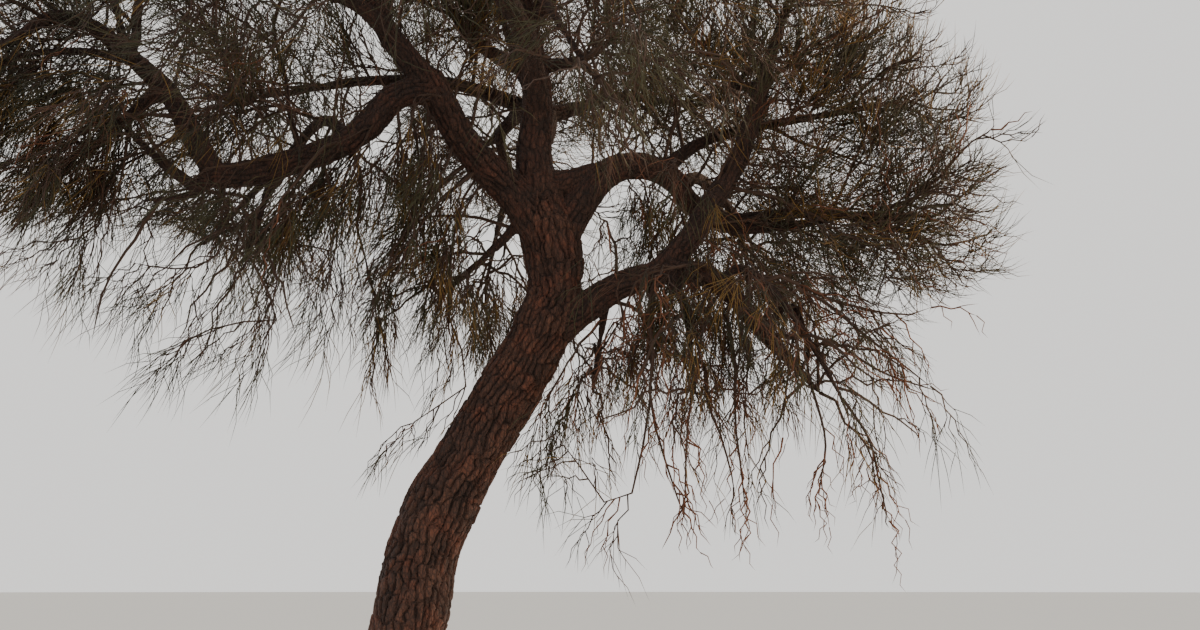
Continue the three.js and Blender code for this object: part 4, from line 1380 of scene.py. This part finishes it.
def stray_twigs(spaces, limbs, first_spray):
    """The single long twigs, each from the nearest point of the limb that it leaves."""
    lines = []
    for stray in STRAYS:
        limb = limbs[stray["parent"]]["curve"]
        start = limb.at(limb.nearest_share(stray["route"][0]))[0]
        lines.append(Curve([start] + stray["route"]).at(np.linspace(0, 1, FIRST["points"])))
    lines = np.array(lines)
    root, leafy_from, dry, fullness = (
        np.array([stray[key] for stray in STRAYS]) for key in ("root", "leafy_from", "dry", "fullness")
    )
    mass = spaces.nearest(lines[:, STRAY["place"]])
    group = first_group(spaces, lines, mass, root, first_spray, STRAY_ROOM, leafy_from, dry)
    group["fullness"] = fullness
    group["length"] = np.clip(group["length"], 0, STRAY["longest"])
    group["free"] = np.ones(len(lines), bool)
    return group


def grow_crown(spaces, limbs, stems):
    """The three generations of twigs, and the needles on the last two."""
    random = np.random.default_rng(SEED)
    wood = Wood({**limbs, **stems})
    first = mass_twigs(spaces, limbs, random)
    for more in (limb_shoots, shoot_rows):
        first = together(first, more(spaces, limbs, random, len(first["lines"])))
    strays = stray_twigs(spaces, limbs, len(first["lines"]))
    clear = wood.clear_of(first["lines"][:, FIRST["clear_from"]:], FIRST["margin"])
    clear &= stays(first["lines"][:, FIRST["place"]], first["spray"], first["free"])
    first = together(pick(first, clear), strays)
    second = grow(spaces, wood, first, SECOND_TWIGS, random)
    third = grow(spaces, wood, second, THIRD_TWIGS, random)
    needles = [
        needles_on(spaces, wood, twigs, bare, random) for twigs, bare in zip((second, third), NEEDLES["bare"])
    ]
    return first, second, third, together(*needles)


def build_crown(spaces, limbs, stems):
    first, second, third, needles = grow_crown(spaces, limbs, stems)
    mass_nodes = ["mass_" + name for name in spaces.names]
    brown = twig_bark("twig_bark", "3f2a1c")
    orange = twig_bark("dry_twig_bark", "6e4127")

    def add(name, parts, skin):
        add_piece(name, joined_mesh(name, parts), skin, mass_nodes)

    add("thick_twigs", [twig_tubes(first, sides=5)], brown)
    bare = []
    for name, group in (("side_twigs", second), ("fine_twigs", third)):
        bare.append(twig_tubes(pick(group, group["dry"]), sides=3))
        leafy = np.nonzero(~group["dry"])[0]
        for k, part in enumerate(np.array_split(leafy, 2)):
            add(f"{name}_{k + 1}", [twig_tubes(pick(group, part), sides=3)], brown)
    add("bare_twigs", bare, orange)
    dealt = scatter(needles["spray"], DEAL["tint"])
    edges = np.cumsum([0] + [share for _, _, share in TINTS])
    for (tint, colour, _), low, high in zip(TINTS, edges[:-1], edges[1:]):
        skin = plain_skin(f"needles_{tint}", colour, 0.75)
        lines = needles["lines"][(dealt >= low) & (dealt < high)]
        pieces = int(np.ceil(len(lines) * NEEDLE_FACES / MOST_FACES))
        for k, part in enumerate(np.array_split(lines, pieces)):
            radii = np.tile(NEEDLE_RADII, (len(part), 1))
            add(f"needles_{tint}_{k + 1}", [tubes(part, radii, sides=3)], skin)


# The floor, the light and the camera


def build_floor():
    bm = bmesh.new()
    bmesh.ops.create_circle(bm, cap_ends=True, segments=96, radius=250)
    floor = linked("floor", finished(bm, "floor"))
    floor.data.materials.append(plain_skin("pale_floor", "cfcbc4", 0.9))


def build_light():
    world = bpy.data.worlds.new("studio")
    world.use_nodes = True
    world.node_tree.nodes["Background"].inputs["Color"].default_value = linear("f1efec")
    world.node_tree.nodes["Background"].inputs["Strength"].default_value = 1.35
    bpy.context.scene.world = world
    for name, place, target, size, power, colour in (
        ("key", (10, 5, 9), (0.6, 0, 3.4), 4, 2200, "ffdcb6"),
        ("fill", (-8, -10, 5), (0.2, 0, 3.2), 7, 130, "eef0ff"),
        ("front", (6, -10, 4), (0.6, 0, 3.0), 5, 360, "ffe8d2"),
    ):
        light = bpy.data.lights.new(name, "AREA")
        light.shape = "DISK"
        light.size = size
        light.energy = power
        light.color = linear(colour)[:3]
        lamp = linked(name, light)
        lamp.location = place
        lamp.rotation_euler = (Vector(target) - Vector(place)).to_track_quat("-Z", "Y").to_euler()


def build_camera():
    """The photograph's view: from 1.5 m above the ground and 10.5 m away, tilted up a little."""
    data = bpy.data.cameras.new("camera")
    data.lens = 60
    data.clip_end = 300
    camera = linked("camera", data)
    camera.location = VIEWPOINT * MM
    camera.rotation_euler = (radians(90 + 7.55), 0, 0)
    bpy.context.scene.camera = camera


SPACES = Spaces()
TREE = shape_limbs(SPACES)
STEMS = shape_stems(SPACES, TREE)
build_bark({**TREE, **STEMS})
build_crown(SPACES, TREE, STEMS)
build_floor()
build_light()
build_camera()
